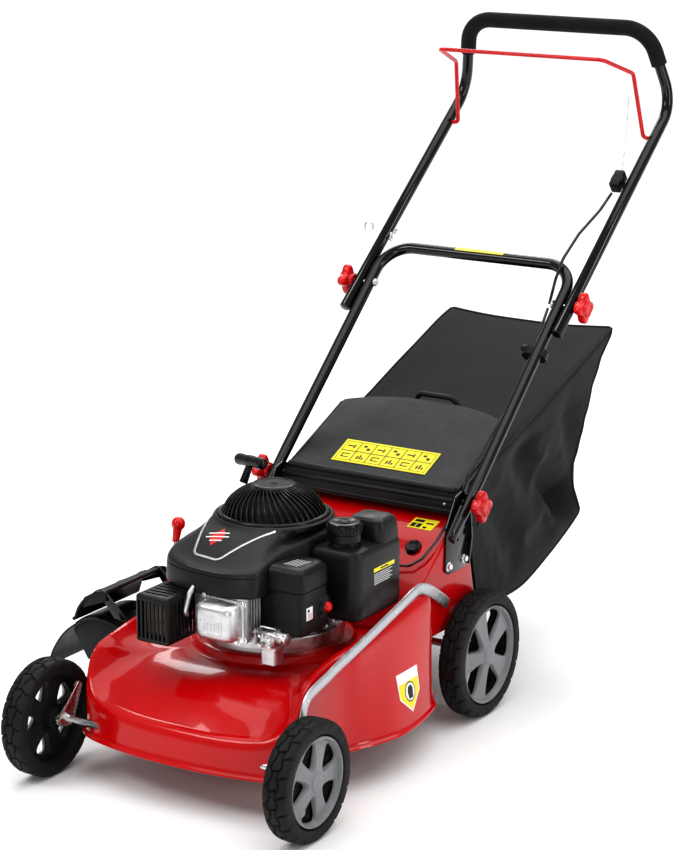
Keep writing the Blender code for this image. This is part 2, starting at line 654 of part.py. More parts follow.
def make_engine():
    y0 = ENGINE_Y
    base_z = PLATFORM_Z + GAP
    base = turned(
        [
            (0.0132, 0.3000), (0.0560, 0.3000), (0.0760, 0.2900), (0.0800, 0.2250), (0.0860, 0.2160),
                (0.1060, 0.2120),
            (0.1070, 0.2100), (0.1070, base_z), (0.0132, base_z),
        ],
        (0, y0, 0), (0, 0, 1), 28,
    )
    base = joined(base, rod((-0.0940, 0.2500, 0.2000), (-0.0940, 0.2500, 0.2395), 0.0100, 14))
    keep(base, "engine_base", "cast_aluminium")

    # Cylinder with its fins, reaching forward to the head.
    block = box((-0.018, 0.112, 0.236), (0.062, 0.1820, 0.292))
    fins = [box((-0.024, 0.1100 + 0.013 * i, 0.230), (0.068, 0.1140 + 0.013 * i, 0.2965)) for i in range(5)]
    plate_head = box((-0.022, 0.0880, 0.232), (0.070, 0.1010, 0.2985), 0.003, 1)
    spark_seat = box((-0.010, 0.0990, 0.240), (0.058, 0.1140, 0.290))
    keep(joined(block, *fins, plate_head, spark_seat), "cylinder", "cast_aluminium")

    cover = loft([
        [(0.026 + 0.036 * u, 0.0877, 0.2660 + 0.030 * v) for u, v in OCTAGON],
        [(0.026 + 0.035 * u, 0.0640, 0.2650 + 0.029 * v) for u, v in OCTAGON],
        [(0.026 + 0.030 * u, 0.0560, 0.2645 + 0.025 * v) for u, v in OCTAGON],
    ])
    keep(cover, "rocker_cover", "cast_aluminium")

    guard = box((-0.086, 0.030, 0.226), (-0.0275, 0.1050, 0.2985), 0.004, 2)
    hollow = box((-0.0838, 0.0322, 0.2282), (-0.0297, 0.1080, 0.2963))
    slits = [box((-0.0810 + 0.0088 * i, 0.020, 0.240),
        (-0.0768 + 0.0088 * i, 0.036, 0.288)) for i in range(6)]
    side_slits = [box((-0.0340, 0.0400 + 0.0095 * i, 0.240),
        (-0.0240, 0.0445 + 0.0095 * i, 0.288)) for i in range(5)]
    keep(cut(guard, hollow, *slits, *side_slits), "muffler_guard", "black_plastic")
    can = box((-0.0790, 0.0370, 0.2340), (-0.0345, 0.1000, 0.2930), 0.008, 2)
    pipe = rod((-0.050, 0.0950, 0.262), (-0.050, 0.1300, 0.262), 0.0090, 12)
    elbow = box((-0.060, 0.1210, 0.252), (-0.0245, 0.1390, 0.272))
    keep(joined(can, pipe, elbow), "muffler", "dark_steel")

    make_shroud()
    make_grille()

    # Air filter housing with the carburettor under it.
    air = loft([
        [(0.104 + 0.0310 * u, 0.1670 + 0.0360 * v, 0.2560) for u, v in OCTAGON],
        [(0.104 + 0.0335 * u, 0.1670 + 0.0380 * v, 0.2600) for u, v in OCTAGON],
        [(0.104 + 0.0335 * u, 0.1670 + 0.0380 * v, 0.3320) for u, v in OCTAGON],
        [(0.104 + 0.0270 * u, 0.1680 + 0.0320 * v, 0.3420) for u, v in OCTAGON],
    ])
    pocket = rod((0.1310, 0.1900, 0.2740), (0.1400, 0.1900, 0.2740), 0.0074, 16)
    keep(cut(air, shroud_clearance(), pocket), "air_filter_box", "black_plastic")
    carb = box((0.078, 0.1060, 0.2240), (0.104, 0.1440, 0.2500), 0.003, 1)
    bowl = rod((0.091, 0.1230, 0.1965), (0.091, 0.1230, 0.2270), 0.0140, 16)
    barrel = rod((0.0700, 0.1230, 0.2380), (0.118, 0.1230, 0.2380), 0.0090, 16)
    neck = box((0.082, 0.1320, 0.2400), (0.100, 0.1480, 0.2555))
    keep(joined(carb, bowl, barrel, neck), "carburettor", "cast_aluminium")

    tank = loft([
        [(0.1270 + 0.0430 * u, 0.2920 + 0.0620 * v, 0.2400) for u, v in OCTAGON],
        [(0.1270 + 0.0450 * u, 0.2920 + 0.0660 * v, 0.2460) for u, v in OCTAGON],
        [(0.1270 + 0.0450 * u, 0.2920 + 0.0660 * v, 0.3400) for u, v in OCTAGON],
        [(0.1270 + 0.0400 * u, 0.2920 + 0.0610 * v, 0.3470) for u, v in OCTAGON],
    ])
    horn = loft([
        [(0.1370 + 0.0320 * u, 0.3240 + 0.0290 * v, 0.3300) for u, v in OCTAGON],
        [(0.1370 + 0.0300 * u, 0.3260 + 0.0260 * v, 0.3720) for u, v in OCTAGON],
        [(0.1370 + 0.0240 * u, 0.3270 + 0.0210 * v, 0.3790) for u, v in OCTAGON],
    ])
    spout = rod((0.1270, 0.2620, 0.3400), (0.1270, 0.2620, 0.3600), 0.0190, 20)
    tank = joined(tank, horn, spout)
    tank = cut(
        tank,
        shroud_clearance(),
        box((0.1180, 0.2400, 0.2520), (0.1690, 0.3440, 0.3370), 0.004, 1),
        rod((0.1370, 0.2620, 0.3300), (0.1370, 0.2620, 0.3650), 0.0085, 16),
    )
    keep(tank, "fuel_tank", "black_plastic")
    cap = turned(
        [
            (0.0001, 0.3830), (0.0210, 0.3830), (0.0255, 0.3800), (0.0265, 0.3600), (0.0262, 0.3550),
                (0.0198, 0.3550),
            (0.0198, 0.3620), (0.0001, 0.3620),
        ],
        (0.1270, 0.2620, 0), (0, 0, 1), 20,
    )
    keep(cap, "fuel_cap", "black_plastic")
    bulb = turned(
        [(0.0001, 0.0085), (0.0045, 0.0070), (0.0065, 0.0030), (0.0068, 0.0), (0.0068, -0.0040),
            (0.0001, -0.0040)],
        (0.1388, 0.1900, 0.2740), (1, 0, 0), 16,
    )
    keep(bulb, "primer_bulb", "red_plastic")
    filler = turned(
        [(0.0001, 0.2560), (0.0130, 0.2560), (0.0145, 0.2530), (0.0145, 0.2420), (0.0100, 0.2400),
            (0.0001, 0.2400)],
        (-0.0940, 0.2500, 0), (0, 0, 1), 14,
    )
    keep(filler, "oil_filler_cap", "black_plastic")

    # Rotor: shaft, flywheel with fan blades, blade and its bolt.
    shaft = turned(
        [
            (0.0001, 0.3560), (0.0070, 0.3560), (0.0100, 0.3400), (0.0125, 0.3340), (0.0125, 0.1400),
                (0.0200, 0.1400),
            (0.0200, 0.1000), (0.0300, 0.1000), (0.0300, 0.0860), (0.0056, 0.0860), (0.0056, 0.1150),
                (0.0001, 0.1150),
        ],
        (0, y0, 0), (0, 0, 1), 16,
    )
    keep(shaft, "crankshaft", "dark_steel")
    flywheel = turned(
        [
            (0.0128, 0.3300), (0.0780, 0.3300), (0.0780, 0.3120), (0.0600, 0.3120), (0.0560, 0.3040),
                (0.0128, 0.3040),
        ],
        (0, y0, 0), (0, 0, 1), 24,
    )
    vanes = []
    for i in range(8):
        a = 2 * math.pi * i / 8
        vane = box((0.050, -0.0012, 0.3290), (0.0760, 0.0012, 0.3430))
        vane.matrix_world = Matrix.Translation((0, y0, 0)) @ Matrix.Rotation(a, 4, "Z")
        vanes.append(baked_at(vane))
    keep(joined(flywheel, *vanes), "flywheel", "cast_aluminium")
    make_blade()

    handle = rod((-0.152, 0.3920, 0.4080), (-0.084, 0.3640, 0.4150), 0.0100, 12)
    stem = rod((-0.118, 0.3780, 0.4110), (-0.1240, 0.3650, 0.3790), 0.0060, 12)
    keep(joined(handle, stem), "starter_handle", "black_plastic")


OCTAGON = (
    (1.0, 0.70), (0.85, 1.0), (-0.85, 1.0), (-1.0, 0.70), (-1.0, -0.70), (-0.85, -1.0), (0.85, -1.0),
        (1.0, -0.70),
)


def make_blade():
    """The flat cutting blade with lifted rear corners, and the bolt under it."""
    y0 = ENGINE_Y
    stations = ((-BLADE_R, 0.012), (-0.150, 0.010), (-0.105, 0.0), (0.105, 0.0), (0.150, 0.010),
        (BLADE_R, 0.012))
    rings = []
    for x, lift in stations:
        front, back = (0.0, lift) if x < 0 else (lift, 0.0)
        rings.append([
            (x, y0 - 0.026, 0.0822 + front), (x, y0 + 0.026, 0.0822 + back),
            (x, y0 + 0.026, 0.0857 + back), (x, y0 - 0.026, 0.0857 + front),
        ])
    blade = cut(loft(rings), rod((0, y0, 0.070), (0, y0, 0.120), 0.0056, 16))
    keep(blade, "blade", "dark_steel")
    bolt = joined(rod((0, y0, 0.0730), (0, y0, 0.0819), 0.0100, 6),
        rod((0, y0, 0.0800), (0, y0, 0.1140), 0.0050, 12))
    keep(bolt, "blade_bolt", "zinc")


# ---- handle -------------------------------------------------------------------------------
def make_brackets():
    outline = ((0.490, 0.250), (0.500, 0.243), (0.556, 0.243), (0.566, 0.290), (0.556, 0.362),
        (0.540, 0.368),
               (0.520, 0.362), (0.492, 0.318))
    for side, label in ((-1, "right"), (1, "left")):
        low, high = sorted((side * 0.1653, side * 0.1683))
        bracket = prism(outline, low, high)
        stud = rod((side * 0.167, *LOWER_STUD), (side * 0.2010, *LOWER_STUD), 0.0030, 12)
        keep(joined(bracket, stud), "bracket_" + label, "black_paint")


def make_lower_handle():
    corner = (0.889, 0.6663)
    path = [(LOWER_X, *LOWER_END), (LOWER_X, *corner), (-LOWER_X, *corner), (-LOWER_X, *LOWER_END)]
    handle = wire(rounded(path, 0.052, 5), TUBE_R, 2)
    drills = []
    for side in (-1, 1):
        for spot in (LOWER_STUD, UPPER_STUD):
            drills.append(rod((side * 0.165, *spot), (side * 0.195, *spot), 0.0034, 12))
    keep(cut(handle, *drills), "lower_handle", "black_paint")
    for side, label in ((-1, "right"), (1, "left")):
        bolt = rod((side * 0.1655, *UPPER_STUD), (side * 0.2260, *UPPER_STUD), 0.0030, 12)
        head = rod((side * 0.1655, *UPPER_STUD), (side * 0.1700, *UPPER_STUD), 0.0065, 12)
        keep(joined(bolt, head), "handle_bolt_" + label, "zinc")


def upper_path():
    top = (0.172, 1.148, 1.030)
    return [
        (UPPER_X, 0.783, 0.5752), (UPPER_X, 1.190, 0.9020), top, (-top[0], top[1], top[2]),
        (-UPPER_X, 1.190, 0.9020), (-UPPER_X, 0.783, 0.5752),
    ]


def make_upper_handle():
    path = rounded(upper_path(), [0.060, 0.052, 0.052, 0.060], 5)
    handle = wire(path, TUBE_R, 2)
    drills = []
    for side in (-1, 1):
        drills.append(rod((side * 0.185, *UPPER_STUD), (side * 0.215, *UPPER_STUD), 0.0034, 12))
        drills.append(rod((side * 0.185, *BAIL_PIVOT), (side * 0.2000, *BAIL_PIVOT), 0.0039, 12))
    drills.append(rod((-0.220, *GUIDE_SPOT), (-0.180, *GUIDE_SPOT), 0.0020, 8))
    keep(cut(handle, *drills), "upper_handle", "black_paint")

    # The grip follows the middle part of the same path.
    middle = [p for p in path if p.z > 0.975]
    grip_path = [Vector(path[6]).lerp(middle[0], 0.55)] + middle
    grip_path.append(Vector((-grip_path[0].x, grip_path[0].y, grip_path[0].z)))
    grip = wire(grip_path, 0.0135, 2)
    core_path = [grip_path[0] * 2 - grip_path[1]] + grip_path + [grip_path[-1] * 2 - grip_path[-2]]
    core = wire(core_path, TUBE_R + 0.0004, 2)
    keep(cut(grip, core), "foam_grip", "foam_black")


def make_knob(name, x, spot):
    """A four-lobed hand knob on the end of a stud, thick along x."""
    side = 1 if x > 0 else -1
    y, z = spot
    outline = []
    for i in range(24):
        a = 2 * math.pi * i / 24
        r = 0.0215 + 0.0042 * math.cos(4 * a)
        outline.append((y + r * math.cos(a), z + r * math.sin(a)))
    low, high = sorted((x, x + side * 0.0150))
    body = prism(outline, low, high)
    collar_low, collar_high = sorted((x - side * 0.0065, x + side * 0.001))
    collar = rod((collar_low, y, z), (collar_high, y, z), 0.0100, 16)
    hub = rod((x + side * 0.012, y, z), (x + side * 0.0190, y, z), 0.0080, 16)
    knob = joined(body, collar, hub)
    bore_end = x + side * 0.0140
    knob = cut(knob, rod((x - side * 0.010, y, z), (bore_end, y, z), 0.0034, 12))
    return keep(knob, name, "red_plastic")


def make_knobs():
    for side, label in ((-1, "right"), (1, "left")):
        make_knob("knob_lower_" + label, side * 0.1970, LOWER_STUD)
        make_knob("knob_upper_" + label, side * 0.2175, UPPER_STUD)


def bail_path():
    y, z = BAIL_PIVOT
    side = [(0.1985, y, z), (0.1800, y, z), (0.1705, 1.0990, 0.9600), (0.1550, 1.0130, 0.9900)]
    return side + [(-p[0], p[1], p[2]) for p in side[::-1]]


def make_bail():
    path = rounded(bail_path(), [0.007, 0.012, 0.012, 0.012, 0.012, 0.007], 4)
    keep(wire(path, 0.0035, 2), "bail", "red_paint")


def make_cables():
    """The engine stop cable, in three lengths that meet on the two fold axes."""
    wire_path = ((0.1660, 1.0930, 0.9250), (0.1700, 1.0830, 0.8800), (0.1755, 1.0620, 0.8300),
        (0.1800, 1.0480, 0.8040))
    keep(wire(rounded(wire_path, 0.05, 4), 0.0009, 1), "brake_wire", "zinc")
    clamp = box((-0.0090, -0.0130, -0.0170), (0.0090, 0.0090, 0.0170), 0.002, 1)
    clamp.matrix_world = Matrix.Translation((0.1790, 1.0370, 0.7860)) @ Matrix.Rotation(math.radians(-51),
        4, "X")
    clamp = baked_at(clamp)
    clamp = cut(clamp, wire(((0.1815, 1.060, 0.835), (0.1800, 1.0430, 0.7960)), 0.0013, 1))
    keep(clamp, "cable_clamp", "black_plastic")
    fold = (0.1620, *UPPER_STUD)
    upper = (
        (0.1745, 1.0210, 0.7690), (0.1700, 0.9900, 0.7450), (0.1620, 0.9300, 0.7130),
            (0.1600, 0.8790, 0.6795),
        (0.1610, 0.8520, 0.6500), fold,
    )
    keep(wire(rounded(upper, 0.06, 3), 0.0025, 2), "cable_upper", "black_plastic")
    base = (0.1620, *LOWER_STUD)
    lower = (
        (0.1620, 0.8253, 0.6068), (0.1630, 0.7950, 0.5700), (0.1640, 0.7600, 0.5320),
            (0.1640, 0.7050, 0.4820),
        (0.1640, 0.6200, 0.4220), (0.1630, 0.5700, 0.3880), (base[0], base[1] + 0.003, base[2] + 0.004),
    )
    keep(wire(rounded(lower, 0.03, 3), 0.0025, 2), "cable_lower", "black_plastic")


def make_handle_trim():
    """The pigtail wire that guides the starter rope, on the right tube."""
    y, z = GUIDE_SPOT
    path = [(-0.1880, y, z), (-0.2180, y, z), (-0.2250, y + 0.001, z + 0.004)]
    for i in range(9):
        a = math.radians(-60 + 300 * i / 8)
        path.append((-0.2350 - 0.0075 * math.cos(a), y + 0.0025 * i / 8, z + 0.010 + 0.0075 * math.sin(a)))
    keep(wire(path, 0.0016, 1), "rope_guide", "zinc")


# ---- rear flap, bag and side chute --------------------------------------------------------
def make_flap():
    y, z = FLAP_AXIS
    pin = rod((-0.1648, y, z), (0.1648, y, z), 0.0030, 12)
    keep(pin, "flap_rod", "zinc")
    half = 0.158
    profile = (
        (0.5318, 0.3292), (0.5330, 0.3420), (0.5370, 0.3500), (0.5385, 0.3600), (0.5430, 0.3680),
            (0.5520, 0.3725),
        (0.6200, 0.4015), (0.7000, 0.4365),
    )
    columns = 8
    outer, inner = [], []
    for i in range(columns + 1):
        u = -1 + 2 * i / columns
        x = u * half
        tail_y = 0.7330 - 0.030 * abs(u) ** 2.5
        tail_z = 0.4365 + (tail_y - 0.7000) * 0.40
        line = list(profile) + [(tail_y, tail_z)]
        outer.append([(x, py, pz) for py, pz in line])
        inner.append([(x, py + 0.0026 * math.sin(0.6), pz - 0.0028) for py, pz in line])
        inner[-1][0] = (x, line[0][0] + 0.0028, line[0][1])
        inner[-1][1] = (x, line[1][0] + 0.0028, line[1][1] - 0.0010)
        inner[-1][2] = (x, line[2][0] + 0.0028, line[2][1] - 0.0015)
        inner[-1][3] = (x, line[3][0] + 0.0028, line[3][1] - 0.0015)
    rings = [a + b[::-1] for a, b in zip(outer, inner)]
    flap = loft(rings)
    cheeks = []
    for side in (-1, 1):
        low, high = sorted((side * 0.1580, side * 0.1550))
        cheek = prism(
            ((0.5330, 0.3310), (0.5600, 0.3400), (0.5800, 0.3700), (0.7030, 0.4200), (0.7030, 0.4355),
                (0.6200, 0.3995),
             (0.5530, 0.3710), (0.5430, 0.3660), (0.5385, 0.3560)),
            low, high,
        )
        cheeks.append(cheek)
    flap = joined(flap, *cheeks)
    flap = cut(flap, rod((-0.17, y, z), (0.17, y, z), 0.0034, 12))
    keep(flap, "rear_flap", "black_plastic")


BAG_SECTIONS = (
    # top y and z, bottom y and z, half width, forward sag of the middle
    (0.5740, 0.3560, 0.6170, 0.1580, 0.1540, 0.000),
    (0.6300, 0.3840, 0.6550, 0.1520, 0.1560, 0.000),
    (0.7200, 0.4080, 0.7050, 0.1480, 0.1580, 0.000),
    (0.8300, 0.4460, 0.7700, 0.1540, 0.1600, 0.004),
    (0.9400, 0.4860, 0.8600, 0.1840, 0.1610, 0.014),
    (1.0300, 0.5180, 0.9300, 0.2120, 0.1610, 0.034),
    (1.0700, 0.5300, 0.9600, 0.2260, 0.1600, 0.048),
)


def bag_ring(top_y, top_z, low_y, low_z, half, sag, shrink=0.0):
    """One closed ring of the bag, drawn in all round by shrink."""
    ring = []
    for u, v in BAG_LOOP:
        x = u * (half - shrink)
        h = 0.5 + 0.5 * v
        y = low_y + (top_y - low_y) * h - sag * math.sin(math.pi * h)
        z = low_z + (top_z - low_z) * h - shrink * v
        ring.append((x, y, z))
    return ring


BAG_LOOP = (
    (1.0, -0.88), (1.0, -0.45), (1.0, 0.0), (1.0, 0.45), (1.0, 0.90), (0.93, 1.0), (0.5, 1.0), (0.0, 1.0),
    (-0.5, 1.0), (-0.93, 1.0), (-1.0, 0.90), (-1.0, 0.45), (-1.0, 0.0), (-1.0, -0.45), (-1.0, -0.88),
    (-0.90, -1.0), (-0.45, -1.0), (0.0, -1.0), (0.45, -1.0), (0.90, -1.0),
)


def make_bag():
    outer = [bag_ring(*s) for s in BAG_SECTIONS]
    inner = [bag_ring(*s, shrink=0.0015) for s in BAG_SECTIONS]
    inner[-1] = [(x, y - 0.0020, z) for x, y, z in inner[-1]]
    mesh = bmesh.new()
    rows = [[mesh.verts.new(p) for p in ring] for ring in inner[::-1] + outer]
    count = len(rows[0])
    for a, b in zip(rows, rows[1:]):
        for i in range(count):
            j = (i + 1) % count
            mesh.faces.new((a[i], a[j], b[j], b[i]))
    for row in (rows[0], rows[-1]):
        middle = mesh.verts.new(sum((v.co for v in row), Vector()) / count)
        for i in range(count):
            mesh.faces.new((row[i], row[(i + 1) % count], middle))
    keep(from_bmesh(mesh), "bag_fabric", "bag_cloth")

    path = [
        (0.1480, 0.5795, 0.3480), (0.1480, 0.6190, 0.1680), (-0.1480, 0.6190, 0.1680),
            (-0.1480, 0.5795, 0.3480),
    ]
    corners = path + [path[0], path[1]]
    loop = rounded(corners, 0.012, 3)[1:-1]
    keep(wire(loop, 0.0030, 1, cyclic=True), "bag_frame", "zinc")
    strap = rounded(((-0.045, 0.7560, 0.4225), (-0.035, 0.7460, 0.4560), (0.035, 0.7460, 0.4560),
        (0.045, 0.7560, 0.4225)), 0.016, 4)
    keep(wire(strap, 0.0045, 1), "bag_handle", "black_plastic")


def curved_strip(points, thickness, low, high, flare=0.0):
    """A sheet that follows (x, z) points, from y = low to high, wider at its far end by flare."""
    count = len(points)
    outer, inner = [], []
    for i, (x, z) in enumerate(points):
        before, after = points[max(i - 1, 0)], points[min(i + 1, count - 1)]
        length = math.hypot(after[0] - before[0], after[1] - before[1])
        nx, nz = -(after[1] - before[1]) / length, (after[0] - before[0]) / length
        outer.append((x, z))
        inner.append((x + nx * thickness, z + nz * thickness))
    rings = []
    for k, (a, b) in enumerate(zip(outer, inner)):
        spread = flare * k / (count - 1)
        rings.append([(a[0], low - spread, a[1]), (a[0], high + spread, a[1]), (b[0], high + spread, b[1]),
            (b[0], low - spread, b[1])])
    return loft(rings)


def make_side_parts():
    x, z = SIDE_AXIS
    cover = (
        (-0.2290, 0.2430), (-0.2420, 0.2410), (-0.2580, 0.2330), (-0.2720, 0.2160), (-0.2800, 0.1960),
    )
    strip = curved_strip(cover, 0.0035, 0.145, 0.280)
    pin = rod((x, SIDE_EARS[0] - 0.002, z), (x, SIDE_EARS[1] + 0.007, z), 0.0035, 12)
    keep(joined(strip, pin), "side_flap", "black_plastic")


def make_chute():
    """The side chute: a hood with two cheeks, hung on the side window."""
    top = curved_strip(((-0.2235, 0.1760), (-0.2600, 0.1860), (-0.2950, 0.1790), (-0.3280, 0.1560),
        (-0.3500, 0.1250),
                        (-0.3600, 0.0960)), 0.003, 0.176, 0.274, 0.012)
    cheeks = []
    for y in (0.1760, 0.2710):
        outline = ((-0.2235, 0.1755), (-0.2600, 0.1845), (-0.2950, 0.1775), (-0.3180, 0.1600),
            (-0.2900, 0.1150),
                   (-0.2235, 0.1050))
        cheeks.append(plate(outline, y, y + 0.003, axis="Y"))
    keep(joined(top, *cheeks), "side_chute", "black_plastic")


def make_small_parts():
    plug = turned(
        [(0.0001, 0.0040), (0.0100, 0.0035), (0.0125, 0.0010), (0.0125, 0.0003), (0.0098, 0.0003),
            (0.0095, -0.0040), (0.0001, -0.0040)],
        (0, 0, 0), (0, 0, 1), 20,
    )
    tilt = math.atan2(0.306 - 0.251, 0.500 - 0.420)
    y = 0.4730
    z = 0.251 + (y - 0.420) * math.tan(tilt)
    plug.matrix_world = Matrix.Translation((0.120, y, z)) @ Matrix.Rotation(tilt, 4, "X")
    keep(baked_at(plug), "deck_plug", "black_plastic")
    path = (
        (0.1620, 0.5290, 0.3405), (0.1615, 0.5100, 0.3260), (0.1580, 0.4780, 0.3000),
            (0.1500, 0.4500, 0.2790),
        (0.1360, 0.4340, 0.2690), (0.1180, 0.4320, 0.2680), (0.1000, 0.4080, 0.2640),
            (0.0900, 0.3640, 0.2700),
    )
    keep(wire(rounded(path, 0.012, 3), 0.0022, 1), "cable_deck", "black_plastic")


make_deck()
make_trim(1)
make_trim(-1)
make_wheel("front_left", FRONT_WHEEL_X, 0, FRONT_WHEEL_R, 0.070)
make_wheel("front_right", -FRONT_WHEEL_X, 0, FRONT_WHEEL_R, 0.070)
make_wheel("rear_left", REAR_WHEEL_X, WHEELBASE, REAR_WHEEL_R, 0.083)
make_wheel("rear_right", -REAR_WHEEL_X, WHEELBASE, REAR_WHEEL_R, 0.083)
make_height_parts()
make_engine()
make_brackets()
make_lower_handle()
make_upper_handle()
make_knobs()
make_bail()
make_cables()
make_handle_trim()
make_flap()
make_bag()
make_side_parts()
make_chute()
make_small_parts()

for part in PARTS.objects:
    part.location.x -= FOOTPRINT_MID[0]
    part.location.y -= FOOTPRINT_MID[1]
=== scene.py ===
"""Looks for the push lawn mower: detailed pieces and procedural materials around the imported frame.

Lengths in the functions are metres in the mower's own frame: x = 0 is its middle plane, y = 0 the
front wheels' axle and z = 0 the ground. SHIFT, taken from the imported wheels, moves them to the row.
"""

import math

import bmesh
import bpy
from mathutils import Matrix, Vector, noise
from mathutils.bvhtree import BVHTree


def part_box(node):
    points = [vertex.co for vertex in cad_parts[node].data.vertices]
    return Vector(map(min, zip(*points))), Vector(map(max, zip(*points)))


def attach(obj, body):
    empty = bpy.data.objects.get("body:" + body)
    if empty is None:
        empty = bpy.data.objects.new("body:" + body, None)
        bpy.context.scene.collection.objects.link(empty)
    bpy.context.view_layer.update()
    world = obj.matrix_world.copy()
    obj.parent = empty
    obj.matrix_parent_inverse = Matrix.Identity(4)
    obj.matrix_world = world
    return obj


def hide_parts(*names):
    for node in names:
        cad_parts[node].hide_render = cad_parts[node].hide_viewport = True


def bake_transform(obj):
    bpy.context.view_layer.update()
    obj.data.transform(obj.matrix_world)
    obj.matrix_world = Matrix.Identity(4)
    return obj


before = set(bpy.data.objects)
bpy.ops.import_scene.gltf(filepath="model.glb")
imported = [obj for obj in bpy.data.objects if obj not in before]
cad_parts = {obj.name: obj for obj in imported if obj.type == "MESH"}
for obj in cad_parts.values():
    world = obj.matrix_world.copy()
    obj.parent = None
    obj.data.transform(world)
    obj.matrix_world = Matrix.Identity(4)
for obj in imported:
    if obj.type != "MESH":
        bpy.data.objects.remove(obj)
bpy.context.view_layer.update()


def middle_of(node):
    """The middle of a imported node's box."""
    low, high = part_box(node)
    return (Vector(low) + Vector(high)) / 2


FRONT_LEFT = middle_of("wheel_front_left")
FRONT_RIGHT = middle_of("wheel_front_right")
SHIFT = Vector(((FRONT_LEFT.x + FRONT_RIGHT.x) / 2, FRONT_LEFT.y, 0.0))

# ---- dimensions shared by several pieces --------------------------------------------------
SHEET = 0.002
ENGINE_Y = 0.265
ENGINE = Vector((0.0, ENGINE_Y, 0.0))
ENGINE_PLAN = (0, ENGINE_Y)
PLATFORM_Z = 0.189
FRONT_R, REAR_R = 0.089, 0.1016
FRONT_X, REAR_X = 0.2306, 0.192
WHEELBASE = 0.56
WHEEL_WIDTH = 0.04
CRANK = Vector((0.0, 0.018, -0.004))
ARM_RISE = 0.022
TUBE_R = 0.0095
LOWER_X, UPPER_X = 0.18, 0.2005
LOWER_STUD = (0.538, 0.349)
UPPER_STUD = (0.83, 0.613)
BAIL_PIVOT = (1.125, 0.85)
FLAP_AXIS = (0.548, 0.35)
GUIDE_SPOT = (0.914, 0.6804)
LEVER_PIVOT = (0.3, 0.155)
LEVER_X = -0.2275
LINK_X = -0.11
HINGE = (-0.23, 0.242)
PLUG_SPOT = (0.12, 0.473)
CAP_SPOT = Vector((0.127, 0.262, 0))
OIL_SPOT = Vector((-0.094, 0.25, 0))


# ---- mesh helpers -------------------------------------------------------------------------
AXIS_PLACES = {
    "X": lambda u, v, w: (w, u, v), "Y": lambda u, v, w: (u, w, v), "Z": lambda u, v, w: (u, v, w),
}


def linked(name, data):
    """A new object in the scene."""
    obj = bpy.data.objects.new(name, data)
    bpy.context.scene.collection.objects.link(obj)
    return obj


def on_circle(radius, share):
    """The point of a circle about the origin at a share of the turn."""
    angle = 2 * math.pi * share
    return radius * math.cos(angle), radius * math.sin(angle)


def as_object(mesh, smooth=35):
    """A bmesh as an object, its normals outward, shaded smooth up to an angle in degrees."""
    bmesh.ops.recalc_face_normals(mesh, faces=mesh.faces[:])
    data = bpy.data.meshes.new("piece")
    mesh.to_mesh(data)
    mesh.free()
    obj = linked("piece", data)
    data.shade_smooth()
    data.set_sharp_from_angle(angle=math.radians(smooth))
    return obj


def joined(*objects):
    """One object from several, each keeping its own materials."""
    mesh = bmesh.new()
    materials = []
    for obj in objects:
        start = len(mesh.faces)
        mesh.from_mesh(obj.data)
        mesh.faces.ensure_lookup_table()
        own = list(obj.data.materials) or [None]
        slots = []
        for material in own:
            if material not in materials:
                materials.append(material)
            slots.append(materials.index(material))
        for face in mesh.faces[start:]:
            face.material_index = slots[min(face.material_index, len(slots) - 1)]
        bpy.data.objects.remove(obj, do_unlink=True)
    data = bpy.data.meshes.new("piece")
    mesh.to_mesh(data)
    mesh.free()
    result = linked("piece", data)
    for material in materials:
        data.materials.append(material)
    return result


def boolean(base, operation, *others):
    """The base after one exact Boolean with each other piece, which is then deleted."""
    for other in others:
        modifier = base.modifiers.new("b", "BOOLEAN")
        modifier.operation = operation
        modifier.solver = "EXACT"
        modifier.object = other
        bpy.context.view_layer.update()
        graph = bpy.context.evaluated_depsgraph_get()
        data = bpy.data.meshes.new_from_object(base.evaluated_get(graph))
        base.modifiers.clear()
        base.data = data
        bpy.data.objects.remove(other, do_unlink=True)
    base.data.shade_smooth()
    base.data.set_sharp_from_angle(angle=math.radians(30))
    return base


def cut(base, *others):
    return boolean(base, "DIFFERENCE", *others)


def fused(base, *others):
    return boolean(base, "UNION", *others)


def box(low, high, bevel=0.001, segments=2):
    """A block between two corners, its edges bevelled."""
    mesh = bmesh.new()
    bmesh.ops.create_cube(mesh, size=1)
    low, high = Vector(low), Vector(high)
    place = Matrix.Translation((low + high) / 2) @ Matrix.Diagonal((*(high - low), 1))
    bmesh.ops.transform(mesh, matrix=place, verts=mesh.verts[:])
    if bevel:
        bmesh.ops.bevel(
            mesh, geom=mesh.edges[:], offset=bevel, segments=segments, affect="EDGES", profile=0.5,
        )
    return as_object(mesh, 50)


def turn_to(axis):
    """The rotation that takes the z axis to another axis."""
    return Vector((0, 0, 1)).rotation_difference(Vector(axis).normalized()).to_matrix().to_4x4()


def lathe(profile, center, axis=(0, 0, 1), steps=64, smooth=35):
    """(radius, height) points turned about an axis; both ends should be on the axis or meet."""
    mesh = bmesh.new()
    rows = []
    for r, h in profile:
        if r < 1e-5:
            rows.append([mesh.verts.new((0, 0, h))])
            continue
        rows.append([mesh.verts.new((*on_circle(r, i / steps), h)) for i in range(steps)])
    for a, b in zip(rows, rows[1:]):
        for i in range(steps):
            j = (i + 1) % steps
            corners = [a[i % len(a)], a[j % len(a)], b[j % len(b)], b[i % len(b)]]
            unique = list(dict.fromkeys(corners))
            if len(unique) > 2:
                mesh.faces.new(unique)
    for ring in (rows[0], rows[-1]):
        if len(ring) > 1 and (rows[0][0].co - rows[-1][0].co).length > 1e-5:
            mesh.faces.new(ring)
    bmesh.ops.remove_doubles(mesh, verts=mesh.verts[:], dist=1e-6)
    bmesh.ops.transform(mesh, matrix=Matrix.Translation(center) @ turn_to(axis), verts=mesh.verts[:])
    return as_object(mesh, smooth)


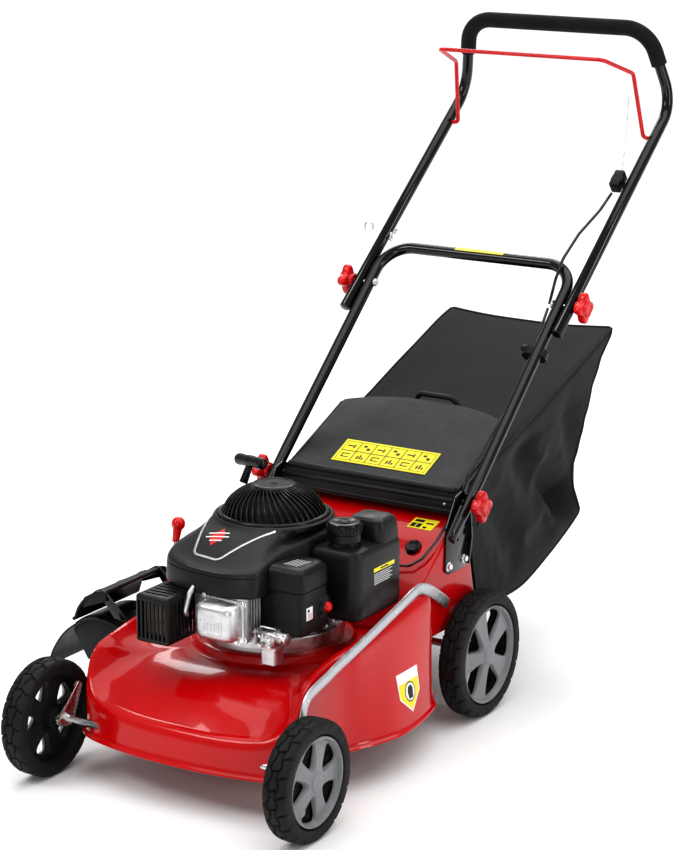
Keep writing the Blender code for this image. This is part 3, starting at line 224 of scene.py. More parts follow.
def rod(start, end, radius, steps=32, edge=0.0006, end_radius=None):
    """A round bar with softened end edges."""
    start, end = Vector(start), Vector(end)
    length = (end - start).length
    r1 = radius if end_radius is None else end_radius
    edge = min(edge, radius * 0.4, r1 * 0.4, length * 0.3)
    profile = [
        (0, 0), (radius - edge, 0), (radius - edge * 0.3, edge * 0.3), (radius, edge),
        (r1, length - edge), (r1 - edge * 0.3, length - edge * 0.3), (r1 - edge, length), (0, length),
    ]
    return lathe(profile, start, end - start, steps)


def ball(center, radius, scale=(1, 1, 1)):
    mesh = bmesh.new()
    bmesh.ops.create_uvsphere(mesh, u_segments=32, v_segments=20, radius=radius)
    place = Matrix.Translation(center) @ Matrix.Diagonal((*scale, 1))
    bmesh.ops.transform(mesh, matrix=place, verts=mesh.verts[:])
    return as_object(mesh)


def loft(rings, around=False, caps=True, smooth=35, uv=False):
    """Faces between rings of equal length, with a UV map in metres if asked."""
    mesh = bmesh.new()
    rows = [[mesh.verts.new(p) for p in ring] for ring in rings]
    count = len(rows[0])
    pairs = list(zip(rows, rows[1:])) + ([(rows[-1], rows[0])] if around else [])
    layer = mesh.loops.layers.uv.new("metres") if uv else None
    along = 0.0
    for a, b in pairs:
        step = sum((p.co - q.co).length for p, q in zip(a, b)) / count
        across = 0.0
        for i in range(count):
            j = (i + 1) % count
            width = (a[i].co - a[j].co).length
            face = mesh.faces.new((a[i], a[j], b[j], b[i]))
            if layer:
                spots = (
                    (across, along), (across + width, along), (across + width, along + step),
                    (across, along + step),
                )
                for corner, spot in zip(face.loops, spots):
                    corner[layer].uv = spot
            across += width
        along += step
    if caps and not around:
        mesh.faces.new(rows[0])
        mesh.faces.new(rows[-1])
    return as_object(mesh, smooth)


def prism(outline, low, high, axis="X", bevel=0.0006, segments=2):
    """A flat plate from a closed 2-D outline, between low and high along an axis."""
    place = AXIS_PLACES[axis]
    mesh = bmesh.new()
    a = [mesh.verts.new(place(u, v, low)) for u, v in outline]
    b = [mesh.verts.new(place(u, v, high)) for u, v in outline]
    count = len(a)
    for i in range(count):
        j = (i + 1) % count
        mesh.faces.new((a[i], a[j], b[j], b[i]))
    ends = [mesh.faces.new(a), mesh.faces.new(b)]
    bmesh.ops.recalc_face_normals(mesh, faces=mesh.faces[:])
    if bevel:
        rim = [e for e in mesh.edges if any(f in ends for f in e.link_faces)]
        bmesh.ops.bevel(mesh, geom=rim, offset=bevel, segments=segments, affect="EDGES", profile=0.5)
    return as_object(mesh, 40)


def hull(spots):
    """The convex outline round 2-D points given in sorted order."""
    def half(points):
        chain = []
        for p in points:
            while len(chain) > 1 and (
                (chain[-1][0] - chain[-2][0]) * (p[1] - chain[-2][1]) - (chain[-1][1] - chain[-2][1])
                * (p[0] - chain[-2][0])
            ) <= 1e-9:
                chain.pop()
            chain.append(p)
        return chain[:-1]
    return half(spots) + half(spots[::-1])


def hull_round(circles, steps):
    """The outline of a belt round circles, each given as (u, v, radius)."""
    spots = set()
    for u, v, radius in circles:
        for i in range(steps):
            du, dv = on_circle(radius, i / steps)
            spots.add((round(u + du, 6), round(v + dv, 6)))
    return hull(sorted(spots))


def spline(points, per, closed=False):
    """Catmull-Rom points through the given ones."""
    points = [Vector(p) for p in points]
    count = len(points)
    path = []
    for i in range(count if closed else count - 1):
        p1, p2 = points[i], points[(i + 1) % count]
        p0 = points[i - 1] if closed or i else p1 * 2 - p2
        p3 = points[(i + 2) % count] if closed or i + 2 < count else p2 * 2 - p1
        for k in range(per):
            t = k / per
            path.append(
                0.5 * (
                    2 * p1 + (p2 - p0) * t + (2 * p0 - 5 * p1 + 4 * p2 - p3) * t * t
                    + (3 * p1 - p0 - 3 * p2 + p3) * t * t * t
                )
            )
    if not closed:
        path.append(points[-1])
    return path


def stepped(points, step):
    """Points along straight runs, at most about one step apart, without the last one."""
    dense = []
    for a, b in zip(points, points[1:]):
        count = max(1, int((b - a).length / step))
        dense += [a.lerp(b, k / count) for k in range(count)]
    return dense


def rounded(points, radius, steps):
    """The open path with each inner corner replaced by an arc."""
    points = [Vector(p) for p in points]
    radii = radius if isinstance(radius, (list, tuple)) else [radius] * (len(points) - 2)
    path = [points[0]]
    for before, corner, after, r in zip(points, points[1:], points[2:], radii):
        a = (before - corner).normalized()
        b = (after - corner).normalized()
        half = a.angle(b) / 2
        reach = r / math.tan(half)
        start = corner + a * reach
        center = corner + (a + b).normalized() * r / math.sin(half)
        out = start - center
        axis = out.cross(corner + b * reach - center).normalized()
        for i in range(steps + 1):
            path.append(center + Matrix.Rotation((math.pi - 2 * half) * i / steps, 3, axis) @ out)
    path.append(points[-1])
    return path


def tube(points, radius, sides=24, cyclic=False):
    """A round bar along the points; radius may be a function of the share of the way along."""
    points = [Vector(p) for p in points]
    size = radius if callable(radius) else (lambda share: radius)
    if not cyclic:
        r = size(0)
        first = (points[1] - points[0]).normalized()
        last = (points[-2] - points[-1]).normalized()
        points = [points[0], points[0] + first * r * 0.12] + points[1:-1] + [
            points[-1] + last * r * 0.12, points[-1],
        ]
    count = len(points)
    tangents = []
    for i in range(count):
        ahead = points[(i + 1) % count] if cyclic or i + 1 < count else points[i]
        behind = points[i - 1] if cyclic or i else points[i]
        tangents.append((ahead - behind).normalized())
    side = tangents[0].orthogonal().normalized()
    rings = []
    for i, (p, t) in enumerate(zip(points, tangents)):
        if i:
            side = (tangents[i - 1].rotation_difference(t) @ side)
            side = (side - t * side.dot(t)).normalized()
        other = t.cross(side)
        r = size(i / (count - 1))
        if not cyclic and i in (0, count - 1):
            r *= 0.86
        ring = []
        for k in range(sides):
            a = 2 * math.pi * k / sides
            ring.append(p + side * r * math.cos(a) + other * r * math.sin(a))
        rings.append(ring)
    return loft(rings, around=cyclic, smooth=50)


def bolt(center, axis, size, height, washer=True):
    """A hexagon head with its washer."""
    axis = Vector(axis).normalized()
    center = Vector(center)
    start = center
    pieces = []
    if washer:
        start = center + axis * 0.001
        pieces.append(
            lathe(
                [
                    (0, 0), (size * 1.45, 0), (size * 1.5, 0.0002), (size * 1.5, 0.0008),
                    (size * 1.4, 0.001), (0, 0.001),
                ],
                center, axis, 32,
            )
        )
    pieces.append(
        lathe(
            [(0, 0), (size, 0), (size, height * 0.8), (size * 0.88, height), (0, height)], start, axis,
            6, 20,
        )
    )
    return joined(*pieces)


def painted(obj, material):
    obj.data.materials.clear()
    obj.data.materials.append(material)
    return obj


def placed(obj, name, body, slot, *nodes):
    """Moves a finished piece into the row frame, names it, rides it on its body and hides the imported
    nodes it stands for.
    """
    obj.name = name
    obj.data.name = name
    obj.data.transform(Matrix.Translation(SHIFT))
    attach(obj, body)
    if nodes:
        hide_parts(*nodes)
    return obj


def about_axis(radius, angle, z):
    """A point at an angle in radians round the crankshaft."""
    return Vector((radius * math.cos(angle), ENGINE_Y + radius * math.sin(angle), z))


def toward(point, target, distance):
    """The 2-D point moved a distance towards a target."""
    dx, dy = target[0] - point[0], target[1] - point[1]
    length = math.hypot(dx, dy)
    return point[0] + dx * distance / length, point[1] + dy * distance / length


# ---- materials ----------------------------------------------------------------------------
class Shader:
    """A Principled material with helpers for procedural colour, roughness and bump."""

    def __init__(self, name, rough, metallic=0.0, coat=0.0, coat_rough=0.03, sheen=0.0, specular=0.5):
        self.material = bpy.data.materials.new(name)
        self.material.use_nodes = True
        self.tree = self.material.node_tree
        self.shader = self.tree.nodes["Principled BSDF"]
        self.shader.inputs["Roughness"].default_value = rough
        self.shader.inputs["Metallic"].default_value = metallic
        self.shader.inputs["Coat Weight"].default_value = coat
        self.shader.inputs["Coat Roughness"].default_value = coat_rough
        self.shader.inputs["Sheen Weight"].default_value = sheen
        self.shader.inputs["Specular IOR Level"].default_value = specular
        self.place = self.tree.nodes.new("ShaderNodeTexCoord")
        self.bumps = None

    def node(self, kind, **values):
        made = self.tree.nodes.new(kind)
        for key, value in values.items():
            if key in made.inputs:
                made.inputs[key].default_value = value
            else:
                setattr(made, key, value)
        return made

    def link(self, a, b):
        self.tree.links.new(a, b)

    def noise(self, scale, detail):
        made = self.node("ShaderNodeTexNoise", Scale=scale, Detail=detail, Roughness=0.55)
        self.link(self.place.outputs["Object"], made.inputs["Vector"])
        return made.outputs["Fac"]

    def ramp(self, value, low, high, out_low, out_high):
        made = self.node("ShaderNodeMapRange")
        made.inputs["From Min"].default_value = low
        made.inputs["From Max"].default_value = high
        made.inputs["To Min"].default_value = out_low
        made.inputs["To Max"].default_value = out_high
        self.link(value, made.inputs["Value"])
        return made.outputs["Result"]

    def colors(self, value, first, second):
        made = self.node("ShaderNodeMix", data_type="RGBA")
        for socket in made.inputs:
            if socket.name == "A" and socket.type == "RGBA":
                socket.default_value = (*first, 1)
            if socket.name == "B" and socket.type == "RGBA":
                socket.default_value = (*second, 1)
        self.link(value, made.inputs["Factor"])
        return [s for s in made.outputs if s.type == "RGBA"][0]

    def color(self, first, second, scale):
        mixed = self.colors(self.ramp(self.noise(scale, 4.0), 0.35, 0.65, 0, 1), first, second)
        self.link(mixed, self.shader.inputs["Base Color"])
        return self

    def roughness(self, low, high, scale):
        value = self.ramp(self.noise(scale, 4.0), 0.3, 0.7, low, high)
        self.link(value, self.shader.inputs["Roughness"])
        return self

    def bump(self, height, distance, strength):
        made = self.node("ShaderNodeBump", Strength=strength, Distance=distance)
        self.link(height, made.inputs["Height"])
        if self.bumps:
            self.link(self.bumps, made.inputs["Normal"])
        self.bumps = made.outputs["Normal"]
        self.link(self.bumps, self.shader.inputs["Normal"])
        return self


def darker(color, share):
    return tuple(c * share for c in color)


def plastic(name, color, rough, grain=900.0, depth=0.00008, coat=0.0, spread=0.25):
    """Moulded plastic: fine spark-eroded grain, soft scuffs and a little unevenness."""
    made = Shader(name, rough, coat=coat, specular=0.26)
    made.color(darker(color, 1 - spread), darker(color, 1 + spread), 14.0)
    made.roughness(rough - 0.06, rough + 0.08, 55.0)
    made.bump(made.noise(grain, 2.0), depth, 0.6)
    made.bump(made.noise(22.0, 2.0), 0.0003, 0.25)
    return made.material


def paint(name, color, rough, coat, peel=0.00003):
    """Sprayed or baked enamel with faint orange peel."""
    made = Shader(name, rough, coat=coat, coat_rough=0.035, specular=0.15)
    made.color(darker(color, 0.9), darker(color, 1.1), 6.0)
    made.roughness(rough - 0.04, rough + 0.05, 40.0)
    made.bump(made.noise(420.0, 2.0), peel, 0.35)
    made.bump(made.noise(18.0, 2.0), 0.0004, 0.1)
    return made.material


def metal(name, color, rough, grain, depth, spread=0.15):
    """Bare or plated metal with fine grain and uneven gloss."""
    made = Shader(name, rough, metallic=1.0)
    made.color(darker(color, 1 - spread), darker(color, min(1 + spread, 1.0 / max(color))), 35.0)
    made.roughness(max(rough - 0.1, 0.05), rough + 0.12, 90.0)
    made.bump(made.noise(grain, 4.0), depth, 0.5)
    return made.material


def woven(name):
    """Black woven mesh: crossing threads on a UV map in metres, with dusty sheen."""
    made = Shader(name, 0.72, sheen=0.1, specular=0.22)
    made.shader.inputs["Sheen Roughness"].default_value = 0.45
    waves = []
    for direction in ("X", "Y"):
        wave = made.node(
            "ShaderNodeTexWave", wave_type="BANDS", bands_direction=direction, Scale=190.0,
            Distortion=0.35,
        )
        wave.inputs["Detail"].default_value = 1.0
        made.link(made.place.outputs["UV"], wave.inputs["Vector"])
        waves.append(wave.outputs["Fac"])
    cross = made.node("ShaderNodeMath", operation="MULTIPLY")
    made.link(waves[0], cross.inputs[0])
    made.link(waves[1], cross.inputs[1])
    top = made.node("ShaderNodeMath", operation="MAXIMUM")
    made.link(waves[0], top.inputs[0])
    made.link(cross.outputs[0], top.inputs[1])
    mixed = made.colors(
        made.ramp(cross.outputs[0], 0.1, 0.9, 0, 1), (0.0026, 0.0026, 0.0028), (0.0105, 0.0105, 0.011),
    )
    dust = made.node("ShaderNodeMix", data_type="RGBA", blend_type="MULTIPLY")
    sockets = [s for s in dust.inputs if s.type == "RGBA"]
    dust.inputs["Factor"].default_value = 0.6
    made.link(mixed, sockets[0])
    made.link(
        made.colors(made.ramp(made.noise(9.0, 5.0), 0.35, 0.7, 0, 1), (0.6, 0.6, 0.6), (1.0, 1.0, 1.0)),
        sockets[1],
    )
    made.link([s for s in dust.outputs if s.type == "RGBA"][0], made.shader.inputs["Base Color"])
    made.bump(top.outputs[0], 0.0005, 0.7)
    made.bump(made.noise(60.0, 4.0), 0.0008, 0.3)
    return made.material


RED = paint("red_enamel", (0.45, 0.0006, 0.0022), 0.22, 0.45)
BLACK_PAINT = paint("black_enamel", (0.003, 0.003, 0.0033), 0.18, 0.55, 0.00004)
SILVER_PAINT = metal("silver_bar", (0.5, 0.51, 0.53), 0.36, 900.0, 0.00001, spread=0.03)
BLACK = plastic("black_moulded", (0.0062, 0.0063, 0.0067), 0.4)
SHROUD_BLACK = plastic("shroud_moulded", (0.0095, 0.0098, 0.0104), 0.38, 700.0, 0.0001)
FLAP_BLACK = plastic("flap_moulded", (0.012, 0.0123, 0.0132), 0.45, 600.0, 0.00012)
GLOSS_BLACK = plastic("black_gloss_moulded", (0.005, 0.005, 0.0054), 0.24, 1200.0, 0.00003)
# Near-black for the solid dome under the fan guard: painted shade for the inside of the housing.
PAINTED_SHADE = plastic("painted_shade_inside", (0.004, 0.004, 0.0042), 0.6)
GREY = plastic("grey_moulded", (0.185, 0.19, 0.198), 0.34, 800.0, 0.00006, spread=0.08)
RED_PLASTIC = plastic(
    "red_moulded", (0.54, 0.0022, 0.004), 0.24, 900.0, 0.00003, coat=0.3, spread=0.12,
)
FOAM = plastic("foam", (0.005, 0.005, 0.0054), 0.78, 1100.0, 0.0005)
RUBBER = plastic("tyre_rubber", (0.0075, 0.0075, 0.0077), 0.62, 650.0, 0.00016)
CAST = metal("cast_aluminium", (0.62, 0.62, 0.63), 0.36, 650.0, 0.00022)
CAST_DULL = metal("cast_aluminium_dull", (0.42, 0.42, 0.43), 0.48, 500.0, 0.0003)
ZINC = metal("zinc_plated", (0.66, 0.66, 0.65), 0.24, 900.0, 0.00003)
BRASSY = metal("yellow_zinc", (0.62, 0.46, 0.22), 0.32, 700.0, 0.00004)
STAINED = metal("heat_stained_steel", (0.15, 0.115, 0.085), 0.45, 160.0, 0.0002, spread=0.5)
CLOTH = woven("bag_weave")
YELLOW = plastic("label_yellow", (0.78, 0.68, 0.02), 0.35, 1500.0, 0.00001, spread=0.05)
WHITE = plastic("label_white", (0.8, 0.8, 0.8), 0.35, 1500.0, 0.00001, spread=0.03)
INK = plastic("label_ink", (0.012, 0.012, 0.012), 0.4, 1500.0, 0.00001)
LABEL_SILVER = metal("label_silver", (0.55, 0.56, 0.57), 0.38, 900.0, 0.00002)
PIPING = plastic("piping", (0.01, 0.01, 0.0105), 0.62, 1400.0, 0.00025)
LABEL_RED = plastic("label_red", (0.55, 0.02, 0.02), 0.4, 1500.0, 0.00001, spread=0.05)


# ---- camera, light and floor --------------------------------------------------------------
def make_stage():
    scene = bpy.context.scene
    camera_data = bpy.data.cameras.new("camera")
    camera_data.lens = 108.4
    camera_data.sensor_width = 36.0
    camera_data.clip_end = 60.0
    camera = linked("camera", camera_data)
    azimuth, pitch = math.radians(32.327), math.radians(14.46)
    camera.location = Vector((2.0517, -2.7929, 1.4601)) + SHIFT
    camera.rotation_euler = (math.pi / 2 - pitch, 0, azimuth)
    scene.camera = camera

    floor = bpy.data.meshes.new("floor")
    size = 45.0
    floor.from_pydata(
        [(-size, -size, 0), (size, -size, 0), (size, size, 0), (-size, size, 0)], [], [(0, 1, 2, 3)],
    )
    ground = linked("floor", floor)
    made = Shader("pale_floor", 0.55, specular=0.15)
    made.color((0.86, 0.86, 0.86), (0.9, 0.9, 0.9), 1.5)
    ground.data.materials.append(made.material)

    world = bpy.data.worlds.new("studio")
    scene.world = world
    world.use_nodes = True
    background = world.node_tree.nodes["Background"]
    background.inputs["Color"].default_value = (1.0, 1.0, 1.0, 1)
    background.inputs["Strength"].default_value = 0.4
    lights = (
        ("key", (-1.6, -2.2, 3.2), (1.6, 1.0), 42.0), ("front", (1.4, -3.6, 1.5), (0.7, 1.6), 16.0),
        ("side", (3.4, 0.6, 1.5), (0.5, 2.2), 26.0), ("back", (-1.5, 2.8, 2.4), (2.4, 0.8), 30.0),
    )
    for name, spot, area, power in lights:
        data = bpy.data.lights.new(name, "AREA")
        data.shape = "RECTANGLE"
        data.size, data.size_y = area
        data.energy = power
        lamp = linked(name, data)
        lamp.location = Vector(spot) + SHIFT
        aim = Vector((0.0, 0.35, 0.35)) + SHIFT - lamp.location
        lamp.rotation_euler = aim.to_track_quat("-Z", "Y").to_euler()
    sun_data = bpy.data.lights.new("sky", "SUN")
    sun_data.energy = 2.1
    sun_data.angle = math.radians(75)
    sun = linked("sky", sun_data)
    sun.rotation_euler = (math.radians(-8), math.radians(6), 0)
    scene.view_settings.view_transform = "Standard"
    scene.view_settings.look = "Medium High Contrast"


# ---- deck ---------------------------------------------------------------------------------
# One side of the deck's edge, from the front middle to the back: x, y and the shoulder's height.
DECK_STATIONS = (
    (0.0, -0.006, 0.12), (0.06, -0.004, 0.12), (0.115, 0.004, 0.122), (0.158, 0.016, 0.128),
    (0.184, 0.034, 0.152), (0.19, 0.058, 0.192), (0.187, 0.11, 0.207), (0.19, 0.172, 0.216),
    (0.208, 0.218, 0.223), (0.22, 0.268, 0.229), (0.216, 0.335, 0.238), (0.203, 0.39, 0.245),
    (0.186, 0.418, 0.24), (0.166, 0.446, 0.222), (0.145, 0.464, 0.205), (0.1, 0.472, 0.2),
    (0.05, 0.474, 0.198), (0.0, 0.474, 0.198),
)


def deck_outer(x, y, shoulder):
    """Outer section at one station: rolled lip, skirt, shoulder, dish and the engine platform."""
    angle = math.atan2(y - ENGINE_Y, x)
    lean = max(0.0, x - 0.195)
    section = []
    for inward, z in (
        (-0.004, 0.064), (-0.0056, 0.0648), (-0.0062, 0.0662), (-0.0056, 0.068), (-0.0036, 0.0694),
        (-0.0012, 0.0704), (-0.0002, 0.072), (0.0002, 0.078), (0.0006, shoulder * 0.5 + 0.02),
        (0.001, shoulder - 0.034), (0.0014, shoulder - 0.02), (0.003, shoulder - 0.01),
        (0.006, shoulder - 0.0045), (0.0105, shoulder - 0.0012), (0.018, shoulder),
    ):
        # The side leans in from its widest stations, up to the bar.
        inward += lean * min(1.0, max(0.0, (z - 0.085) / (shoulder - 0.125)))
        section.append(Vector((*toward((x, y), ENGINE_PLAN, inward), z)))
    edge = toward((x, y), ENGINE_PLAN, 0.018 + lean)
    foot = about_axis(0.13, angle, 0)
    for share, drop in ((0.12, 0.26), (0.3, 0.6), (0.48, 0.8), (0.65, 0.92), (0.84, 0.98)):
        z = shoulder + (PLATFORM_Z - 0.012 - shoulder) * drop
        section.append(
            Vector((edge[0] + (foot[0] - edge[0]) * share, edge[1] + (foot[1] - edge[1]) * share, z))
        )
    for r, z in (
        (0.13, -0.0132), (0.1265, -0.0128), (0.124, -0.011), (0.1225, -0.005), (0.1205, -0.0012),
        (0.118, 0.0), (0.09, 0.0), (0.055, 0.0),
    ):
        section.append(about_axis(r, angle, PLATFORM_Z + z))
    return section


def deck_inner(section):
    """The lining of one section, one sheet in, from the platform to the lip."""
    angle = math.atan2(section[7].y - ENGINE_Y, section[7].x)
    spots = [(math.hypot(p.x, p.y - ENGINE_Y), p.z) for p in section[7:]]
    lining = [(spots[0][0] - SHEET, 0.064)]
    for i, (r, z) in enumerate(spots):
        before, after = spots[max(i - 1, 0)], spots[min(i + 1, len(spots) - 1)]
        along = Vector((after[0] - before[0], after[1] - before[1])).normalized()
        lining.append((r - SHEET * along.y, z + SHEET * along.x))
    return [about_axis(r, angle, z) for r, z in lining[::-1]]


def make_deck():
    stations = [Vector(s) for s in DECK_STATIONS]
    stations += [Vector((-x, y, z)) for x, y, z in DECK_STATIONS[-2:0:-1]]
    rings = []
    for spot in spline(stations, 5, closed=True):
        section = deck_outer(*spot)
        rings.append(section + deck_inner(section))
    deck = loft(rings, around=True)
    tunnel = prism(
        (
            (0.372, 0.15), (0.6, 0.15), (0.56, 0.322), (0.5, 0.306), (0.47, 0.282),
            (0.42, 0.247), (0.395, 0.215), (0.372, 0.185),
        ),
        -0.165, 0.165, bevel=0.006, segments=4,
    )
    lugs = []
    for x in (-0.164, 0.161):
        lugs.append(
            prism(
                ((0.562, 0.08), (0.596, 0.08), (0.594, 0.158), (0.566, 0.158)), x, x + 0.003,
                bevel=0.0008,
            )
        )
    ear = hull_round(((*HINGE, 0.0056), (-0.205, 0.212, 0.006), (-0.19, 0.208, 0.003)), 24)
    ears = [prism(ear, y, y + 0.005, axis="Y", bevel=0.0008) for y in (0.139, 0.281)]
    placed(painted(joined(*ears), BLACK_PAINT), "hinge_ears", "chassis", "red_paint")
    deck = fused(deck, tunnel, *lugs)
    bore = prism(
        (
            (0.376, 0.153), (0.61, 0.153), (0.57, 0.3203), (0.501, 0.3038), (0.4713, 0.2797),
            (0.4213, 0.2444), (0.3966, 0.2132), (0.376, 0.184),
        ),
        -0.1628, 0.1628, bevel=0.005, segments=3,
    )
    front_z, rear_z = FRONT_R + CRANK.z, REAR_R + CRANK.z
    rear_y = WHEELBASE + CRANK.y
    deck = cut(
        deck, bore, box((-0.24, 0.17, 0.098), (-0.15, 0.278, 0.185), 0.008, 4),
        rod((-0.22, CRANK.y, front_z), (0.22, CRANK.y, front_z), 0.0064, 24, 0),
        rod((-0.18, rear_y, rear_z), (0.18, rear_y, rear_z), 0.0064, 24, 0),
        box((LINK_X - 0.006, 0.455, 0.095), (LINK_X + 0.006, 0.49, 0.135), 0.001),
        rod((*PLUG_SPOT, 0.24), (*PLUG_SPOT, 0.31), 0.0105, 24, 0),
        rod((-0.225, *LEVER_PIVOT), (-0.205, *LEVER_PIVOT), 0.0034, 16, 0),
        rod((HINGE[0], 0.13, HINGE[1]), (HINGE[0], 0.3, HINGE[1]), 0.0038, 16, 0),
    )
    placed(painted(deck, RED), "deck_pressing", "chassis", "red_paint", "deck_shell")


# Depth outward and height of the bar's section.
TRIM_SECTION = (
    (-0.0012, -0.0082), (-0.0008, -0.0087), (0.0006, -0.0087), (0.0012, -0.008), (0.0022, -0.004),
    (0.0024, 0.0), (0.0022, 0.004), (0.0012, 0.008), (0.0006, 0.0087), (-0.0008, 0.0087),
    (-0.0012, 0.0082), (-0.0014, 0.0),
)


def make_trims():
    left_path = (
        (0.1952, 0.044, 0.158), (0.196, 0.05, 0.177), (0.1965, 0.064, 0.1895),
        (0.1972, 0.102, 0.2), (0.1985, 0.136, 0.211), (0.199, 0.17, 0.219),
        (0.199, 0.24, 0.236), (0.199, 0.308, 0.253), (0.197, 0.345, 0.26),
        (0.193, 0.374, 0.259), (0.189, 0.406, 0.247), (0.18, 0.454, 0.221),
        (0.1725, 0.49, 0.2),
    )
    right_path = (
        (0.2222, 0.268, 0.234), (0.2182, 0.335, 0.243), (0.208, 0.392, 0.251), (0.193, 0.421, 0.245),
        (0.1775, 0.45, 0.229), (0.171, 0.476, 0.214),
    )
    for side, label, path in ((1, "left", left_path), (-1, "right", right_path)):
        smooth = spline(path, 6)
        if side < 0:
            smooth = [p for p in smooth if p.y > 0.2867]
        rings = []
        for i, p in enumerate(smooth):
            before, after = smooth[max(i - 1, 0)], smooth[min(i + 1, len(smooth) - 1)]
            along = Vector((0, after.y - before.y, after.z - before.z)).normalized()
            up = Vector((0, -along.z, along.y))
            ring = []
            for dx, h in TRIM_SECTION:
                ring.append(Vector(((p.x + dx) * side, p.y + up.y * h, p.z + up.z * h)))
            rings.append(ring)
        bar = painted(loft(rings, smooth=30), SILVER_PAINT)
        screws = []
        for share in (0.12, 0.55):
            p = smooth[int(len(smooth) * share)]
            screws.append(
                painted(
                    bolt(
                        Vector(((p.x + 0.0018) * side, p.y, p.z)), (side, 0, 0), 0.0022, 0.0012, False,
                    ),
                    ZINC,
                )
            )
        placed(joined(bar, *screws), "trim_bar_" + label, "chassis", "silver_paint", "trim_" + label)


# ---- wheels -------------------------------------------------------------------------------
TREAD_BLOCKS = 20


def tread_height(turn, across):
    """Depth of the tread grooves at a share of the turn and a place from -1 to 1 across."""
    phase = turn * TREAD_BLOCKS
    wave = 0.1 * math.sin(2 * math.pi * phase)
    groove = 0.0
    for line in (-0.3, 0.3):
        gap = abs(across - line - wave * (1 if line > 0 else -1))
        groove = max(groove, 1 - gap / 0.065)
    half_turn = 0.5 if across > 0 else 0.0
    slant = abs(((phase + half_turn + 0.3 * abs(across)) % 1.0) - 0.5)
    if abs(across) > 0.36:
        groove = max(groove, 1 - slant / 0.075)
    elif abs(across) < 0.26:
        middle = abs(((phase + 0.25 * across) % 1.0) - 0.5)
        groove = max(groove, 1 - middle / 0.06)
    return min(max(groove * 1.6, 0.0), 1.0)


def make_tyre(center, side, radius, rim_radius):
    half = WHEEL_WIDTH / 2
    steps = 360
    web = 0.004
    profile = [
        (0.0063, half - 0.006, 0), (0.016, half - 0.006, 0), (0.016, web, 0),
        (rim_radius - 0.0055, web, 0), (rim_radius - 0.004, half - 0.006, 0),
        (rim_radius - 0.001, half - 0.0012, 0), (rim_radius + 0.0015, half - 0.0002, 0),
        (rim_radius + 0.006, half, 0), (radius - 0.01, half - 0.0004, 0),
        (radius - 0.0085, half - 0.0002, 0.6),
    ]
    for k in range(25):
        across = 1 - 2 * k / 24
        r = radius - 0.0058 * abs(across) ** 7 - 0.0006 * across * across
        profile.append((r, (half - 0.0004) * across, 1.0))
    profile += [(r, -h, g) for r, h, g in profile[9:2:-1]]
    profile += [(0.016, -web, 0), (0.016, -half + 0.002, 0), (0.0063, -half + 0.002, 0)]
    mesh = bmesh.new()
    rows = []
    for r, h, grooved in profile:
        row = []
        for i in range(steps):
            a = 2 * math.pi * i / steps
            depth = 0.003 * grooved * tread_height(i / steps, h / half) if grooved else 0.0
            row.append(mesh.verts.new(((r - depth) * math.cos(a), (r - depth) * math.sin(a), h)))
        rows.append(row)
    for a, b in zip(rows, rows[1:] + rows[:1]):
        for i in range(steps):
            j = (i + 1) % steps
            mesh.faces.new((a[i], a[j], b[j], b[i]))
    place = Matrix.Translation(center) @ turn_to((side, 0, 0))
    bmesh.ops.transform(mesh, matrix=place, verts=mesh.verts[:])
    return as_object(mesh, 40)


def window_cutters(center, side, radius_in, radius_out, top, turn):
    """Five teardrop cutters with a chamfer at the outer face."""
    place = Matrix.Translation(center) @ turn_to((side, 0, 0))
    cutters = []
    for i in range(5):
        middle = math.radians(90 + turn + 72 * i)
        rings = []
        for height, grow in (
            (-0.03, 0.0), (top - 0.0055, 0.0), (top - 0.003, 0.001), (top, 0.0032),
            (top + 0.012, 0.012),
        ):
            outline = []
            for spread, r in (
                (0.0, radius_in), (0.2, radius_in + 0.005), (0.31, (radius_in + radius_out) / 2),
                (0.335, radius_out - 0.006), (0.24, radius_out - 0.0004), (0.0, radius_out + 0.0004),
                (-0.24, radius_out - 0.0004), (-0.335, radius_out - 0.006),
                (-0.31, (radius_in + radius_out) / 2), (-0.2, radius_in + 0.005),
            ):
                outline.append(
                    Vector((r * math.cos(middle + spread), r * math.sin(middle + spread), 0))
                )
            heart = sum(outline, Vector()) / len(outline)
            smooth = spline(outline, 4, closed=True)
            rings.append(
                [place @ (p + (p - heart).normalized() * grow + Vector((0, 0, height))) for p in smooth]
            )
        cutters.append(loft(rings))
    return cutters


def make_rim(center, side, rim_radius, turn):
    half = WHEEL_WIDTH / 2
    outer = rim_radius - 0.0048
    profile = [
        (0.0, half - 0.0012), (0.012, half - 0.001), (0.0138, half - 0.0014), (0.0146, half - 0.0026),
        (0.0165, half - 0.0032), (0.024, half - 0.0042), ((outer + 0.024) / 2, half - 0.0062),
        (outer - 0.008, half - 0.0078), (outer - 0.0062, half - 0.007),
        (outer - 0.0048, half - 0.003), (outer - 0.0036, half - 0.0012),
        (outer - 0.0016, half - 0.0008), (outer, half - 0.0014), (outer + 0.0002, half - 0.005),
        (outer - 0.003, half - 0.011), (0.0175, 0.0075), (0.0165, half - 0.0045),
        (0.0, half - 0.004),
    ]
    rim = lathe(profile, center, (side, 0, 0), 120)
    return cut(rim, *window_cutters(center, side, 0.0225, rim_radius - 0.0115, half - 0.0045, turn))


